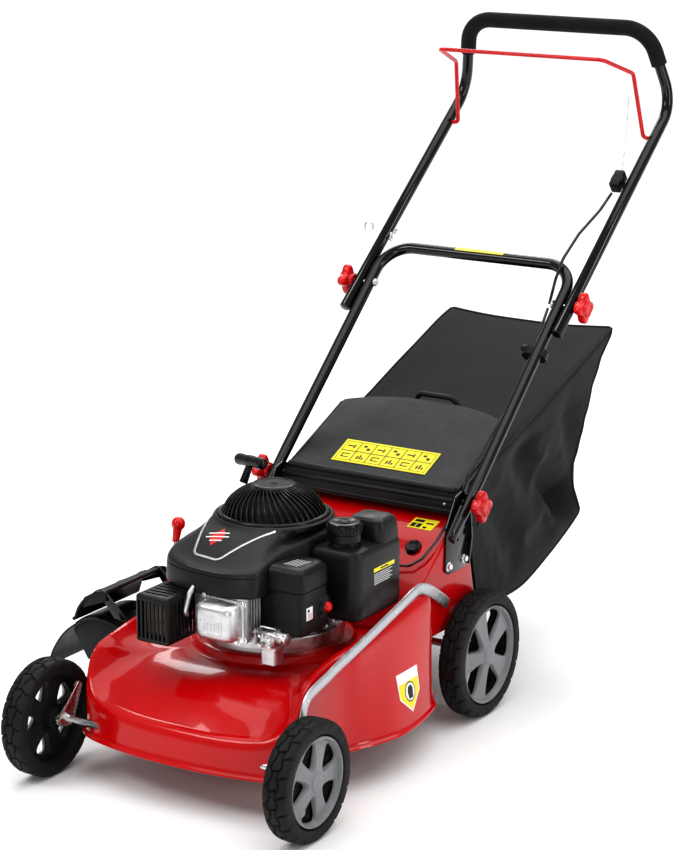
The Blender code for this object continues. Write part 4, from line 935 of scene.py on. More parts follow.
def make_wheels():
    wheels = (
        ("front_left", FRONT_X, 0.0, FRONT_R, 0.07), ("front_right", -FRONT_X, 0.0, FRONT_R, 0.07),
        ("rear_left", REAR_X, WHEELBASE, REAR_R, 0.083),
        ("rear_right", -REAR_X, WHEELBASE, REAR_R, 0.083),
    )
    for label, x, y, radius, rim_radius in wheels:
        center = Vector((x, y, radius))
        side = 1 if x > 0 else -1
        tyre = make_tyre(center, side, radius, rim_radius)
        turn = 36 if "front" in label else 0
        tyre = cut(tyre, *window_cutters(center, side, 0.024, rim_radius - 0.013, 0.03, turn))
        placed(painted(tyre, RUBBER), "tyre_" + label, "wheel_" + label, "tyre_black", "wheel_" + label)
        rim = painted(make_rim(center, side, rim_radius, turn), GREY)
        placed(rim, "spokes_" + label, "wheel_" + label, "grey_plastic", "rim_" + label)


def make_axles():
    for name, wheel_x, y, z, plate_x in (
        ("front_axle", FRONT_X, 0.0, FRONT_R, 0.2005), ("rear_axle", REAR_X, WHEELBASE, REAR_R, 0.1665),
    ):
        shaft_y, shaft_z = y + CRANK.y, z + CRANK.z
        pieces = [
            rod((-plate_x - 0.002, shaft_y, shaft_z), (plate_x + 0.002, shaft_y, shaft_z), 0.006)
        ]
        stop_y, stop_z = y + 0.041, z + 0.042
        outline = hull_round(((y, z, 0.0095), (shaft_y, shaft_z, 0.0085), (stop_y, stop_z, 0.006)), 32)
        warm = []
        for side in (-1, 1):
            low, high = sorted((side * plate_x, side * (plate_x + 0.0035)))
            pieces.append(prism(outline, low, high, bevel=0.0005))
            tip = wheel_x + WHEEL_WIDTH / 2 - 0.0058
            pieces.append(rod((side * (plate_x + 0.001), y, z), (side * tip, y, z), 0.0057))
            pieces.append(
                lathe(
                    [
                        (0.0058, 0), (0.0088, 0), (0.0092, 0.0004), (0.0092, 0.0042), (0.0058, 0.0042),
                        (0.0058, 0),
                    ],
                    (side * (plate_x + 0.0038), y, z), (side, 0, 0), 40,
                )
            )
            warm.append(bolt((side * (plate_x + 0.0035), stop_y, stop_z), (side, 0, 0), 0.0045, 0.0032))
            warm.append(
                bolt((side * (plate_x + 0.0035), shaft_y, shaft_z), (side, 0, 0), 0.0038, 0.002, False)
            )
        arm = hull_round(((shaft_y, shaft_z, 0.0085), (shaft_y, shaft_z + ARM_RISE, 0.005)), 24)
        pieces.append(prism(arm, LINK_X + 0.004, LINK_X + 0.007, bevel=0.0004))
        whole = joined(painted(joined(*pieces), ZINC), painted(joined(*warm), BRASSY))
        placed(whole, name + "_shaft", name, "zinc", name)
    rise = ARM_RISE + CRANK.z
    front, rear = (CRANK.y, FRONT_R + rise), (WHEELBASE + CRANK.y, REAR_R + rise)
    path = rounded(
        ((LINK_X + 0.0085, *front), (LINK_X, *front), (LINK_X, *rear), (LINK_X + 0.0085, *rear)), 0.003,
        5,
    )
    placed(painted(tube(path, 0.0025), ZINC), "link_rod", "height_link", "zinc", "height_link")


def make_lever():
    y, z = LEVER_PIVOT
    outline = hull_round(((y, z, 0.011), (y + 0.016, z + 0.07, 0.007)), 32)
    strap = prism(outline, -0.229, -0.226, bevel=0.0005)
    neck = rod((LEVER_X, y + 0.014, z + 0.062), (LEVER_X, y + 0.031, z + 0.1385), 0.0035)
    pin = rod((-0.227, y, z), (-0.212, y, z), 0.003)
    head = bolt((-0.229, y, z), (-1, 0, 0), 0.0045, 0.003)
    lever = painted(joined(strap, neck, pin, head), ZINC)
    placed(lever, "height_strap", "height_lever", "zinc", "height_lever")
    tip = Vector((LEVER_X, y + 0.0345, z + 0.149))
    foot = Vector((LEVER_X, y + 0.026, z + 0.121))
    length = (tip - foot).length
    profile = [(0.0039, 0), (0.0052, 0), (0.0056, 0.0006), (0.0066, length * 0.45)]
    for i in range(13):
        a = math.radians(-48 + 138 * i / 12)
        profile.append((max(0.0112 * math.cos(a), 0.0), length + 0.0112 * math.sin(a)))
    profile[-1] = (0.0, length + 0.0112)
    knob = lathe(profile, foot, tip - foot, 40)
    placed(painted(knob, RED_PLASTIC), "lever_knob", "height_lever", "red_plastic", "lever_ball")


# ---- engine -------------------------------------------------------------------------------
def soft_rectangle(half_u, half_v, corner, steps=6):
    outline = []
    for su, sv, start in ((1, 1, 0), (-1, 1, 90), (-1, -1, 180), (1, -1, 270)):
        for i in range(steps + 1):
            a = math.radians(start + 90 * i / steps)
            outline.append(
                (
                    su * (half_u - corner) + corner * math.cos(a),
                    sv * (half_v - corner) + corner * math.sin(a),
                )
            )
    return outline


def cushion(center, levels, axis="Z"):
    """A moulded block: rounded rectangles (height, half u, half v, corner) along an axis."""
    place = AXIS_PLACES[axis]
    rings = []
    for height, half_u, half_v, corner in levels:
        outline = soft_rectangle(half_u, half_v, corner)
        rings.append([Vector(center) + Vector(place(u, v, height)) for u, v in outline])
    return loft(rings)


def soft_outline(points, radius, steps=5):
    """A closed 2-D outline with its corners rounded."""
    corners = [(u, v, 0) for u, v in (*points, points[0], points[1])]
    return [(p.x, p.y) for p in rounded(corners, radius, steps)[1:-1]]


def around_spot(low, high, bevel, spot, count, offset=0.0):
    """Copies of a box, turned about the upright axis through a spot."""
    copies = []
    for i in range(count):
        copy = box(low, high, bevel)
        turn = Matrix.Rotation(2 * math.pi * (i + offset) / count, 4, "Z")
        copy.data.transform(Matrix.Translation(spot) @ turn)
        copies.append(copy)
    return copies


def ribbon(spots, width, height, sink=0.0006):
    """A raised strip along (point, normal) pairs."""
    rings = []
    for i, (p, n) in enumerate(spots):
        ahead = spots[min(i + 1, len(spots) - 1)][0]
        behind = spots[max(i - 1, 0)][0]
        side = (ahead - behind).cross(n).normalized() * width / 2
        edge = side * 0.75
        rings.append(
            [
                p - side - n * sink, p - side + n * height * 0.5, p - edge + n * height,
                p + edge + n * height, p + side + n * height * 0.5, p + side - n * sink,
            ]
        )
    return loft(rings)


def dropped(obj, spots, direction=(0, 0, -1)):
    """Where lines from the spots along a direction first meet a piece, with the normals there."""
    mesh = bmesh.new()
    mesh.from_mesh(obj.data)
    tree = BVHTree.FromBMesh(mesh)
    mesh.free()
    found = []
    for spot in spots:
        hit, normal, _, _ = tree.ray_cast(Vector(spot), Vector(direction))
        if hit:
            found.append((hit, normal if normal.dot(Vector(direction)) < 0 else -normal))
    return found


def sticker(piece, spots, direction, lift, material, offset=Vector((0, 0, 0))):
    """A thin flat mark whose outline lies on a piece."""
    spots = [Vector(p) for p in spots]
    dense = stepped(spots + spots[:1], 0.004)
    middle = sum(dense, Vector()) / len(dense)
    rings = []
    for share in (1.0, 1.0, 0.8, 0.6, 0.4, 0.2, 0.02):
        hits = dropped(piece, [middle.lerp(p, share) for p in dense], direction)
        rise = lift if rings else -0.0004
        rings.append([p + n * rise - offset for p, n in hits])
    return painted(loft(rings), material)


def shroud_outline():
    """Plan of the blower housing: round behind, with a nose over the cylinder."""
    outline = []
    sides = 112
    for i in range(sides):
        a = 2 * math.pi * i / sides
        x, y = 0.112 * math.cos(a), 0.112 * math.sin(a)
        if y < 0:
            fade = min(1.0, -y / 0.085)
            y = y - 0.075 * fade ** 1.5
            x = x * (1 + 0.35 * fade if x < 0 else 1) + 0.012 * fade
            x = max(x, -0.108 + 0.008 * fade)
        x = min(x, 0.0985 - 0.018 * max(0.0, min(1.0, -y / 0.09)))
        outline.append((x, ENGINE_Y + y))
    for _ in range(3):
        outline = [
            ((a[0] + 2 * b[0] + c[0]) / 4, (a[1] + 2 * b[1] + c[1]) / 4)
            for a, b, c in zip(outline[-1:] + outline[:-1], outline, outline[1:] + outline[:1])
        ]
    return outline


def shroud_space():
    rings = []
    for z in (0.298, 0.4):
        rings.append([Vector((*toward(spot, ENGINE_PLAN, -0.001), z)) for spot in shroud_outline()])
    return loft(rings)


SHROUD_LEVELS = (
    # height, how far in from the outline, and how much the nose drops
    (0.3, 0.0006, 0.0), (0.3006, 0.0, 0.0), (0.326, 0.001, 0.0), (0.3272, 0.0016, 0.0),
    (0.3278, 0.003, 0.0), (0.3288, 0.0031, 0.0), (0.3294, 0.0016, 0.004), (0.333, 0.002, 0.01),
    (0.339, 0.0034, 0.05), (0.344, 0.0052, 0.1), (0.3478, 0.008, 0.13), (0.35, 0.0112, 0.15),
    (0.352, 0.016, 0.16), (0.3545, 0.025, 0.164),
)


def make_shroud():
    outline = shroud_outline()
    outer = []
    for ring_z, inset, tilt in SHROUD_LEVELS:
        ring = []
        for x, y in outline:
            px, py = toward((x, y), ENGINE_PLAN, inset)
            ahead = max(0.0, ENGINE_Y - 0.085 - py)
            behind = max(0.0, min(1.0, (py - ENGINE_Y + 0.085) / 0.085))
            ring.append(Vector((px, py, ring_z - tilt * ahead + tilt * 0.06 * behind)))
        outer.append(ring)
    rim = []
    for p in outer[-1]:
        a = math.atan2(p.y - ENGINE_Y, p.x)
        rim.append(about_axis(0.0915, a, 0.3735))
    last = outer[-1]
    for share in (0.25, 0.5, 0.75, 0.92):
        lift = math.sin(math.pi * share) * 0.0018
        outer.append([a.lerp(b, share) + Vector((0, 0, lift)) for a, b in zip(last, rim)])
    for radius, z in (
        (0.0905, 0.3748), (0.089, 0.3765), (0.087, 0.3772), (0.0852, 0.3765), (0.0848, 0.37),
    ):
        outer.append([about_axis(radius, math.atan2(p.y - ENGINE_Y, p.x), z) for p in rim])
    lining = []
    for k, ring in enumerate(outer[::-1]):
        row = []
        for p in ring:
            px, py = toward((p.x, p.y), ENGINE_PLAN, 0.0025 if k > 1 else -0.001)
            row.append(Vector((px, py, p.z if k == len(outer) - 1 else p.z - 0.0028)))
        lining.append(row)
    shroud = painted(loft(outer + lining, around=True, smooth=40), SHROUD_BLACK)
    plan = rounded(
        ((-0.083, 0.222, 0.5), (-0.04, 0.113, 0.5), (0.008, 0.106, 0.5), (0.053, 0.19, 0.5)),
        [0.016, 0.013], 7,
    )
    line = ribbon(dropped(shroud, stepped(plan, 0.003) + [plan[-1]]), 0.0036, 0.0007)
    painted(line, LABEL_SILVER)
    marks = []
    for x, y, wide in ((-0.0245, 0.158, 0.034), (-0.0225, 0.15, 0.038), (-0.0205, 0.142, 0.02)):
        spots = [(x + wide * (k / 8 - 0.5), y + 0.12 * wide * (k / 8 - 0.5), 0.5) for k in range(9)]
        marks.append(painted(ribbon(dropped(shroud, spots), 0.0024, 0.0007, 0.0003), WHITE))
    outline = soft_outline(((0.013, 0), (0, 0.019), (-0.013, 0), (0, -0.019)), 0.001, 2)
    diamond = [(-0.0225 + u, 0.15 + v, 0.5) for u, v in outline]
    marks.append(sticker(shroud, diamond, (0, 0, -1), 0.0004, LABEL_RED))
    screws = []
    for degrees in (-150, -20, 25, 160):
        outside = about_axis(0.3, math.radians(degrees), 0.313)
        inward = about_axis(0, 0, 0.313) - outside
        for hit, normal in dropped(shroud, [outside], inward):
            screws.append(painted(bolt(hit, normal, 0.0032, 0.0028), ZINC))
    placed(
        joined(shroud, line, *marks, *screws), "engine_shroud", "chassis", "black_plastic",
        "blower_shroud",
    )


def make_grille():
    """The domed fan guard: a rim, curved ribs and a flat disc, over a dark solid inside that is painted
    shade for the housing's shadowed interior.
    """
    rim = lathe(
        [
            (0.077, 0.3725), (0.077, 0.3792), (0.0785, 0.3806), (0.0812, 0.3802), (0.083, 0.3786),
            (0.0836, 0.3762), (0.0836, 0.3725), (0.077, 0.3725),
        ],
        ENGINE, steps=120,
    )
    disc = lathe(
        [
            (0, 0.421), (0.003, 0.421), (0.0036, 0.4218), (0.0052, 0.4219), (0.006, 0.4212),
            (0.027, 0.4212), (0.028, 0.4222), (0.031, 0.422), (0.0332, 0.4204), (0.0338, 0.418),
            (0.0336, 0.414), (0, 0.414),
        ],
        ENGINE, steps=96,
    )
    dome = spline(
        (
            (0.0325, 0.4196, 0), (0.044, 0.415, 0), (0.0565, 0.4082, 0), (0.07, 0.3958, 0),
            (0.079, 0.3785, 0),
        ),
        4,
    )
    ribs = []
    for i in range(44):
        base = 2 * math.pi * i / 44
        rings = []
        for k, p in enumerate(dome):
            share = k / (len(dome) - 1)
            a = base + 0.36 * share
            out = Vector((math.cos(a), math.sin(a), 0))
            across = Vector((-math.sin(a), math.cos(a), 0)) * (0.0009 + 0.0007 * share)
            top = ENGINE + out * p.x + Vector((0, 0, p.y))
            low = ENGINE + out * (p.x - 0.0035 * share - 0.0005) + Vector(
                (0, 0, p.y - 0.0042 + 0.002 * share)
            )
            rings.append(
                [
                    low - across, top - across * 1.0 - Vector((0, 0, 0.0006)), top - across * 0.5,
                    top + across * 0.5, top + across * 1.0 - Vector((0, 0, 0.0006)), low + across,
                ]
            )
        ribs.append(loft(rings))
    guard = painted(joined(rim, disc, *ribs), GLOSS_BLACK)
    # A solid near-black dome under the ribs: painted shade standing in for the shadowed space inside
    # the housing.
    shade_dome = lathe(
        [(0, 0.413)] + [(p.x - 0.004, p.y - 0.0068) for p in dome] + [(0.075, 0.3728), (0, 0.3728)],
        ENGINE,
    )
    placed(joined(guard, painted(shade_dome, PAINTED_SHADE)), "fan_guard", "chassis", "black_plastic", "fan_grille")


def make_engine_block():
    low = PLATFORM_Z + 0.0003
    base = lathe(
        [
            (0.0132, 0.3), (0.056, 0.3), (0.074, 0.293), (0.0765, 0.288), (0.079, 0.232),
            (0.08, 0.225), (0.083, 0.2185), (0.086, 0.216), (0.104, 0.213), (0.1062, 0.2118),
            (0.107, 0.21), (0.107, low + 0.006), (0.1058, low + 0.005), (0.1058, low),
            (0.0132, low), (0.0132, 0.3),
        ],
        ENGINE, steps=120,
    )
    pieces = [base]
    pieces += around_spot((0.078, -0.0012, 0.211), (0.101, 0.0012, 0.222), 0.0008, ENGINE, 24, 0.5)
    for i in range(4):
        z = 0.238 + 0.011 * i
        pieces.append(
            lathe(
                [
                    (0.076, z), (0.0845, z), (0.0848, z + 0.001), (0.0845, z + 0.002),
                    (0.076, z + 0.002), (0.076, z),
                ],
                ENGINE, steps=96,
            )
        )
    pieces.append(rod((-0.094, 0.25, 0.2), (-0.094, 0.25, 0.2395), 0.01))
    block = painted(joined(*pieces), CAST)
    bolts = []
    for degrees in (-95, -60, -20, 40, 100, 160, 220):
        bolts.append(bolt(about_axis(0.0965, math.radians(degrees), 0.2135), (0, 0, 1), 0.0042, 0.0048))
    placed(
        joined(block, painted(joined(*bolts), ZINC)), "crankcase", "chassis", "cast_aluminium",
        "engine_base",
    )

    parts = [
        box((-0.018, 0.112, 0.236), (0.062, 0.182, 0.292)),
        box((-0.022, 0.088, 0.232), (0.07, 0.101, 0.2985), 0.003, 3),
    ]
    for i in range(10):
        y = 0.1045 + 0.0075 * i
        parts.append(box((-0.0235, y, 0.2305), (0.0675, y + 0.002, 0.296), 0.0006))
    parts.append(box((0.0615, 0.087, 0.2325), (0.069, 0.0885, 0.2975), 0.0005))
    parts.append(
        prism(
            soft_outline(
                (
                    (-0.005, 0.29), (0.025, 0.29), (0.02, 0.301), (0.008, 0.3065),
                    (-0.002, 0.304),
                ),
                0.003,
            ),
            0.0835, 0.0865, axis="Y",
        )
    )
    head = painted(joined(*parts), CAST_DULL)
    studs = [
        bolt((0.003, 0.0835, 0.2985), (0, -1, 0), 0.0042, 0.0045),
        bolt((0.066, 0.087, 0.238), (0, -1, 0), 0.0038, 0.004),
        bolt((0.066, 0.087, 0.292), (0, -1, 0), 0.0034, 0.004),
        bolt((0.056, 0.086, 0.2345), (0, -1, 0), 0.0038, 0.004),
    ]
    strap = tube(
        rounded(
            (
                (-0.016, 0.08, 0.308), (-0.0185, 0.072, 0.298), (-0.022, 0.066, 0.274),
                (-0.0235, 0.07, 0.265),
            ),
            0.008, 6,
        ),
        0.0038, 20,
    )
    studs.append(painted(strap, CAST))
    for stud in studs[:4]:
        painted(stud, ZINC)
    placed(joined(head, *studs), "cylinder_head", "chassis", "cast_aluminium", "cylinder")

    cover = cushion(
        (0.031, 0, 0.2655),
        (
            (0.0877, 0.0365, 0.0305, 0.009), (0.0846, 0.0365, 0.0305, 0.009),
            (0.084, 0.0345, 0.0285, 0.01), (0.069, 0.0338, 0.028, 0.011),
            (0.063, 0.0325, 0.0268, 0.012), (0.059, 0.03, 0.0245, 0.012),
            (0.0568, 0.0265, 0.0212, 0.011), (0.056, 0.0225, 0.0175, 0.01),
        ),
        "Y",
    )
    parts = [cover]
    frame_line = [
        Vector((0.0295 + u, 0.0562, 0.26 + v)) for u, v in soft_rectangle(0.0185, 0.0105, 0.003)
    ]
    parts.append(tube(frame_line, 0.0009, 10, cyclic=True))
    for i in range(5):
        x = 0.0172 + 0.0062 * i
        parts.append(box((x - 0.0012, 0.0553, 0.254), (x + 0.0012, 0.0566, 0.266), 0.0005))
    placed(painted(joined(*parts), CAST), "valve_cover", "chassis", "cast_aluminium", "rocker_cover")


def make_exhaust():
    guard = box((-0.086, 0.03, 0.226), (-0.0275, 0.105, 0.2985), 0.005, 4)
    cutters = []
    for i in range(7):
        x = -0.0808 + 0.0074 * i
        cutters.append(box((x, 0.02, 0.233), (x + 0.004, 0.036, 0.29), 0.0012))
    for i in range(7):
        y = 0.039 + 0.0086 * i
        cutters.append(box((-0.034, y, 0.233), (-0.024, y + 0.0042, 0.29), 0.0012))
    for i in range(5):
        y = 0.042 + 0.011 * i
        cutters.append(box((-0.078, y, 0.29), (-0.035, y + 0.0045, 0.303), 0.0012))
    guard = cut(
        guard, box((-0.0838, 0.0322, 0.2282), (-0.0297, 0.108, 0.2963), 0.003), joined(*cutters),
    )
    placed(painted(guard, BLACK), "exhaust_guard", "chassis", "black_plastic", "muffler_guard")
    can = box((-0.079, 0.037, 0.234), (-0.0345, 0.1, 0.293), 0.008, 5)
    seam = box((-0.081, 0.0665, 0.232), (-0.0325, 0.0685, 0.295), 0.0008)
    pipe = rod((-0.05, 0.095, 0.262), (-0.05, 0.13, 0.262), 0.009)
    elbow = box((-0.06, 0.121, 0.252), (-0.0245, 0.139, 0.272), 0.004, 4)
    placed(
        painted(joined(can, seam, pipe, elbow), STAINED), "exhaust_can", "chassis", "dark_steel",
        "muffler",
    )


def make_intake():
    center = Vector((0.099, 0.167, 0))
    case = cushion(
        center,
        (
            (0.24, 0.0355, 0.035, 0.01), (0.2425, 0.0378, 0.0373, 0.012),
            (0.246, 0.0385, 0.038, 0.012), (0.306, 0.039, 0.038, 0.012),
            (0.3064, 0.0378, 0.0367, 0.012), (0.3078, 0.0378, 0.0367, 0.012),
            (0.3082, 0.04, 0.0386, 0.012), (0.329, 0.0396, 0.0383, 0.012),
            (0.3345, 0.0382, 0.037, 0.012), (0.3385, 0.0355, 0.0345, 0.012),
            (0.3405, 0.0325, 0.0315, 0.011), (0.3412, 0.025, 0.0245, 0.009),
        ),
    )
    case = painted(cut(case, shroud_space()), BLACK)
    marks = []
    for i in range(5):
        x = 0.094 + 0.0052 * i
        spots = [(x + 0.006 * k / 10, 0.15 + 0.03 * k / 10, 0.5) for k in range(11)]
        hits = [s for s in dropped(case, spots) if s[0].z > 0.335]
        if len(hits) > 3:
            marks.append(painted(ribbon(hits, 0.001, 0.00025, 0.0003), WHITE))
    marks.append(painted(box((0.1366, 0.142, 0.264), (0.1386, 0.158, 0.283), 0.0002), WHITE))
    marks.append(painted(box((0.1378, 0.1445, 0.276), (0.1388, 0.1495, 0.2805), 0.0001), INK))
    for i in range(4):
        z = 0.266 + 0.0023 * i
        marks.append(painted(box((0.1378, 0.1445, z), (0.1388, 0.1555, z + 0.0008), 0.0001), LABEL_RED))
    slot_line = painted(box((0.078, 0.1282, 0.302), (0.126, 0.1294, 0.3034), 0.0004), GLOSS_BLACK)
    spot = Vector((0.1375, 0.19, 0.274))
    collar = lathe(
        [
            (0.0086, -0.0015), (0.018, -0.0015), (0.0186, 0.0), (0.018, 0.0016), (0.0154, 0.0018),
            (0.015, 0.0034), (0.0126, 0.0038), (0.0122, 0.0054), (0.0094, 0.006), (0.0086, 0.005),
            (0.0086, -0.0015),
        ],
        spot, (1, 0, 0),
    )
    placed(
        joined(case, slot_line, painted(collar, GLOSS_BLACK), *marks), "air_box", "chassis",
        "black_plastic", "air_filter_box",
    )
    bulb = lathe(
        [
            (0, 0.0112), (0.003, 0.0109), (0.0055, 0.0096), (0.0072, 0.0074), (0.008, 0.004),
            (0.008, 0.001), (0.008, -0.003), (0, -0.003),
        ],
        (0.1388, 0.19, 0.274), (1, 0, 0), 40,
    )
    placed(painted(bulb, RED_PLASTIC), "primer_button", "primer", "red_plastic", "primer_bulb")

    parts = [
        cushion(
            (0.091, 0.125, 0),
            (
                (0.224, 0.012, 0.018, 0.004), (0.226, 0.013, 0.019, 0.005),
                (0.248, 0.013, 0.019, 0.005), (0.25, 0.012, 0.018, 0.004),
            ),
        ),
        cushion(
            (0.091, 0.123, 0),
            (
                (0.1965, 0.011, 0.0105, 0.004), (0.1985, 0.013, 0.0125, 0.005),
                (0.22, 0.0135, 0.013, 0.005), (0.2215, 0.015, 0.0145, 0.005),
                (0.2245, 0.015, 0.0145, 0.005), (0.225, 0.013, 0.0125, 0.005),
            ),
        ),
        rod((0.07, 0.123, 0.238), (0.118, 0.123, 0.238), 0.009),
        box((0.082, 0.132, 0.24), (0.1, 0.148, 0.2555), 0.002),
        box((0.0735, 0.101, 0.229), (0.0765, 0.14, 0.252), 0.001),
    ]
    rods = [
        tube(
            rounded(
                ((0.072, 0.104, 0.248), (0.1, 0.101, 0.25), (0.12, 0.106, 0.244)), 0.006,
                5,
            ),
            0.0018, 16,
        ),
        tube(
            rounded(
                ((0.08, 0.104, 0.252), (0.085, 0.102, 0.259), (0.108, 0.108, 0.256)), 0.004,
                5,
            ),
            0.0012, 12,
        ),
        rod((0.085, 0.105, 0.23), (0.085, 0.098, 0.23), 0.0034),
        rod((0.102, 0.105, 0.231), (0.102, 0.097, 0.231), 0.003),
        bolt((0.1195, 0.106, 0.244), (1, 0, 0), 0.004, 0.005),
        bolt((0.076, 0.104, 0.248), (-1, 0, 0), 0.0036, 0.004),
        bolt((0.091, 0.123, 0.1965), (0, 0, -1), 0.0042, 0.003, False),
        bolt((0.1, 0.1045, 0.24), (0, -1, 0), 0.0032, 0.004),
        bolt((0.084, 0.1045, 0.244), (0, -1, 0), 0.003, 0.0036),
    ]
    whole = joined(painted(joined(*parts), CAST), painted(joined(*rods), ZINC))
    placed(whole, "carburettor_body", "chassis", "cast_aluminium", "carburettor")


def make_tank():
    tank = cushion(
        (0.127, 0.292, 0),
        (
            (0.24, 0.04, 0.06, 0.014), (0.2425, 0.0432, 0.064, 0.016),
            (0.247, 0.045, 0.066, 0.017), (0.335, 0.045, 0.066, 0.017),
            (0.342, 0.0438, 0.0648, 0.017), (0.346, 0.041, 0.062, 0.016),
            (0.3475, 0.037, 0.058, 0.014),
        ),
    )
    horn = cushion(
        (0.137, 0.325, 0),
        (
            (0.33, 0.033, 0.03, 0.014), (0.356, 0.0325, 0.029, 0.014),
            (0.37, 0.0312, 0.0275, 0.014), (0.3765, 0.0285, 0.025, 0.013),
            (0.3795, 0.024, 0.0205, 0.011),
        ),
    )
    spout = lathe(
        [
            (0, 0.335), (0.0225, 0.335), (0.0225, 0.35), (0.0205, 0.3525), (0.019, 0.3595),
            (0.018, 0.36), (0, 0.36),
        ],
        CAP_SPOT, steps=48,
    )
    tank = painted(cut(fused(tank, horn, spout), shroud_space()), SHROUD_BLACK)
    marks = [painted(box((0.1715, 0.272, 0.308), (0.1724, 0.33, 0.314), 0.0002), YELLOW)]
    for i in range(6):
        z = 0.304 - 0.003 * i
        marks.append(
            painted(
                box((0.1716, 0.273, z), (0.1722, 0.324 - 0.007 * (i % 2), z + 0.0009), 0.0001), WHITE,
            )
        )
    marks.append(painted(box((0.1723, 0.29, 0.3098), (0.1726, 0.312, 0.3122), 0.0001), INK))
    placed(joined(tank, *marks), "petrol_tank", "chassis", "black_plastic", "fuel_tank")

    cap = lathe(
        [
            (0, 0.3824), (0.015, 0.3824), (0.0165, 0.3834), (0.02, 0.3836), (0.0232, 0.3828),
            (0.025, 0.3806), (0.0256, 0.377), (0.0258, 0.369), (0.0246, 0.3684), (0.0246, 0.3668),
            (0.0258, 0.366), (0.0262, 0.3556), (0.0198, 0.355), (0.0198, 0.362), (0, 0.362),
        ],
        CAP_SPOT, steps=72,
    )
    grips = around_spot((0.0245, -0.0011, 0.3692), (0.0268, 0.0011, 0.3792), 0.0006, CAP_SPOT, 30)
    mark = [CAP_SPOT + Vector((*on_circle(0.0085, k / 32), 0.3825)) for k in range(32)]
    parts = [cap, *grips, tube(mark, 0.0008, 8, cyclic=True)]
    placed(painted(joined(*parts), GLOSS_BLACK), "petrol_cap", "fuel_cap", "black_plastic", "fuel_cap")
    cap = lathe(
        [
            (0, 0.256), (0.012, 0.256), (0.0138, 0.2548), (0.0145, 0.253), (0.0145, 0.242),
            (0.01, 0.24), (0, 0.24),
        ],
        OIL_SPOT, steps=48,
    )
    bridge = box((-0.102, 0.2485, 0.2555), (-0.086, 0.2515, 0.26), 0.001)
    grips = around_spot((0.0138, -0.0009, 0.243), (0.0152, 0.0009, 0.253), 0.0005, OIL_SPOT, 20)
    parts = [cap, bridge, *grips]
    placed(
        painted(joined(*parts), GLOSS_BLACK), "oil_cap_top", "oil_cap", "black_plastic",
        "oil_filler_cap",
    )


def make_starter():
    start, end = Vector((-0.152, 0.392, 0.408)), Vector((-0.084, 0.364, 0.415))
    length = (end - start).length
    profile = [(0, 0)]
    for share, r in (
        (0.0, 0.006), (0.02, 0.0082), (0.05, 0.0092), (0.12, 0.0096), (0.3, 0.0088), (0.45, 0.0098),
        (0.55, 0.0098), (0.7, 0.0088), (0.88, 0.0096), (0.95, 0.0092), (0.98, 0.0082), (1.0, 0.006),
    ):
        profile.append((r, share * length))
    profile.append((0, length))
    bar = lathe(profile, start, end - start, 40)
    stem = rod((-0.118, 0.378, 0.411), (-0.124, 0.365, 0.379), 0.0055, 32, 0.001, 0.0068)
    placed(
        painted(joined(bar, stem), GLOSS_BLACK), "starter_grip", "starter", "black_plastic",
        "starter_handle",
    )


# ---- handles ------------------------------------------------------------------------------
LOWER_END = (0.487, 0.303)
HANDLE_CORNER = (0.889, 0.6663)
GRIP_LOW = 0.975


def make_brackets():
    outline = soft_outline(
        (
            (0.49, 0.25), (0.5, 0.243), (0.556, 0.243), (0.566, 0.29), (0.556, 0.362),
            (0.54, 0.368), (0.52, 0.362), (0.492, 0.318),
        ),
        0.003,
    )
    for side, label in ((-1, "right"), (1, "left")):
        low, high = sorted((side * 0.1653, side * 0.1683))
        plate = prism(outline, low, high, bevel=0.0006)
        near, far = sorted((side * 0.16, side * 0.175))
        holes = [
            box((near, 0.524, 0.29), (far, 0.53, 0.308), 0.002),
            box((near, 0.544, 0.296), (far, 0.55, 0.306), 0.002),
        ]
        plate = cut(plate, joined(*holes))
        rim = [
            Vector((side * 0.17, y, z))
            for y, z in soft_outline(
                (
                    (0.556, 0.248), (0.5655, 0.29), (0.557, 0.36), (0.5535, 0.36),
                    (0.561, 0.29), (0.5525, 0.248),
                ),
                0.001, 3,
            )
        ]
        lip = loft(
            [
                [Vector((side * 0.166, p.y, p.z)) for p in rim],
                [Vector((side * 0.1745, p.y, p.z)) for p in rim],
            ]
        )
        hook = tube(
            rounded(
                (
                    (side * 0.17, 0.56, 0.33), (side * 0.179, 0.572, 0.326),
                    (side * 0.179, 0.58, 0.315), (side * 0.179, 0.572, 0.305),
                ),
                0.005, 5,
            ),
            0.0022, 16,
        )
        stud = rod((side * 0.167, *LOWER_STUD), (side * 0.201, *LOWER_STUD), 0.003)
        black = painted(joined(plate, lip, hook, stud), BLACK_PAINT)
        bolts = [
            bolt((side * 0.1683, y, z), (side, 0, 0), 0.005, 0.0045)
            for y, z in ((0.499, 0.256), (0.548, 0.257))
        ]
        placed(
            joined(black, painted(joined(*bolts), ZINC)), "handle_bracket_" + label, "chassis",
            "black_paint", "bracket_" + label,
        )


def flattened(obj, side_x, y_end, y_start):
    """Squeezes the tube's end in x towards a flat bar."""
    for v in obj.data.vertices:
        if v.co.y >= y_start:
            continue
        share = min(1.0, (y_start - v.co.y) / (y_start - y_end))
        share = share * share * (3 - 2 * share)
        center = math.copysign(side_x, v.co.x)
        v.co.x = center + (v.co.x - center) * (1 - 0.42 * share)
    return obj


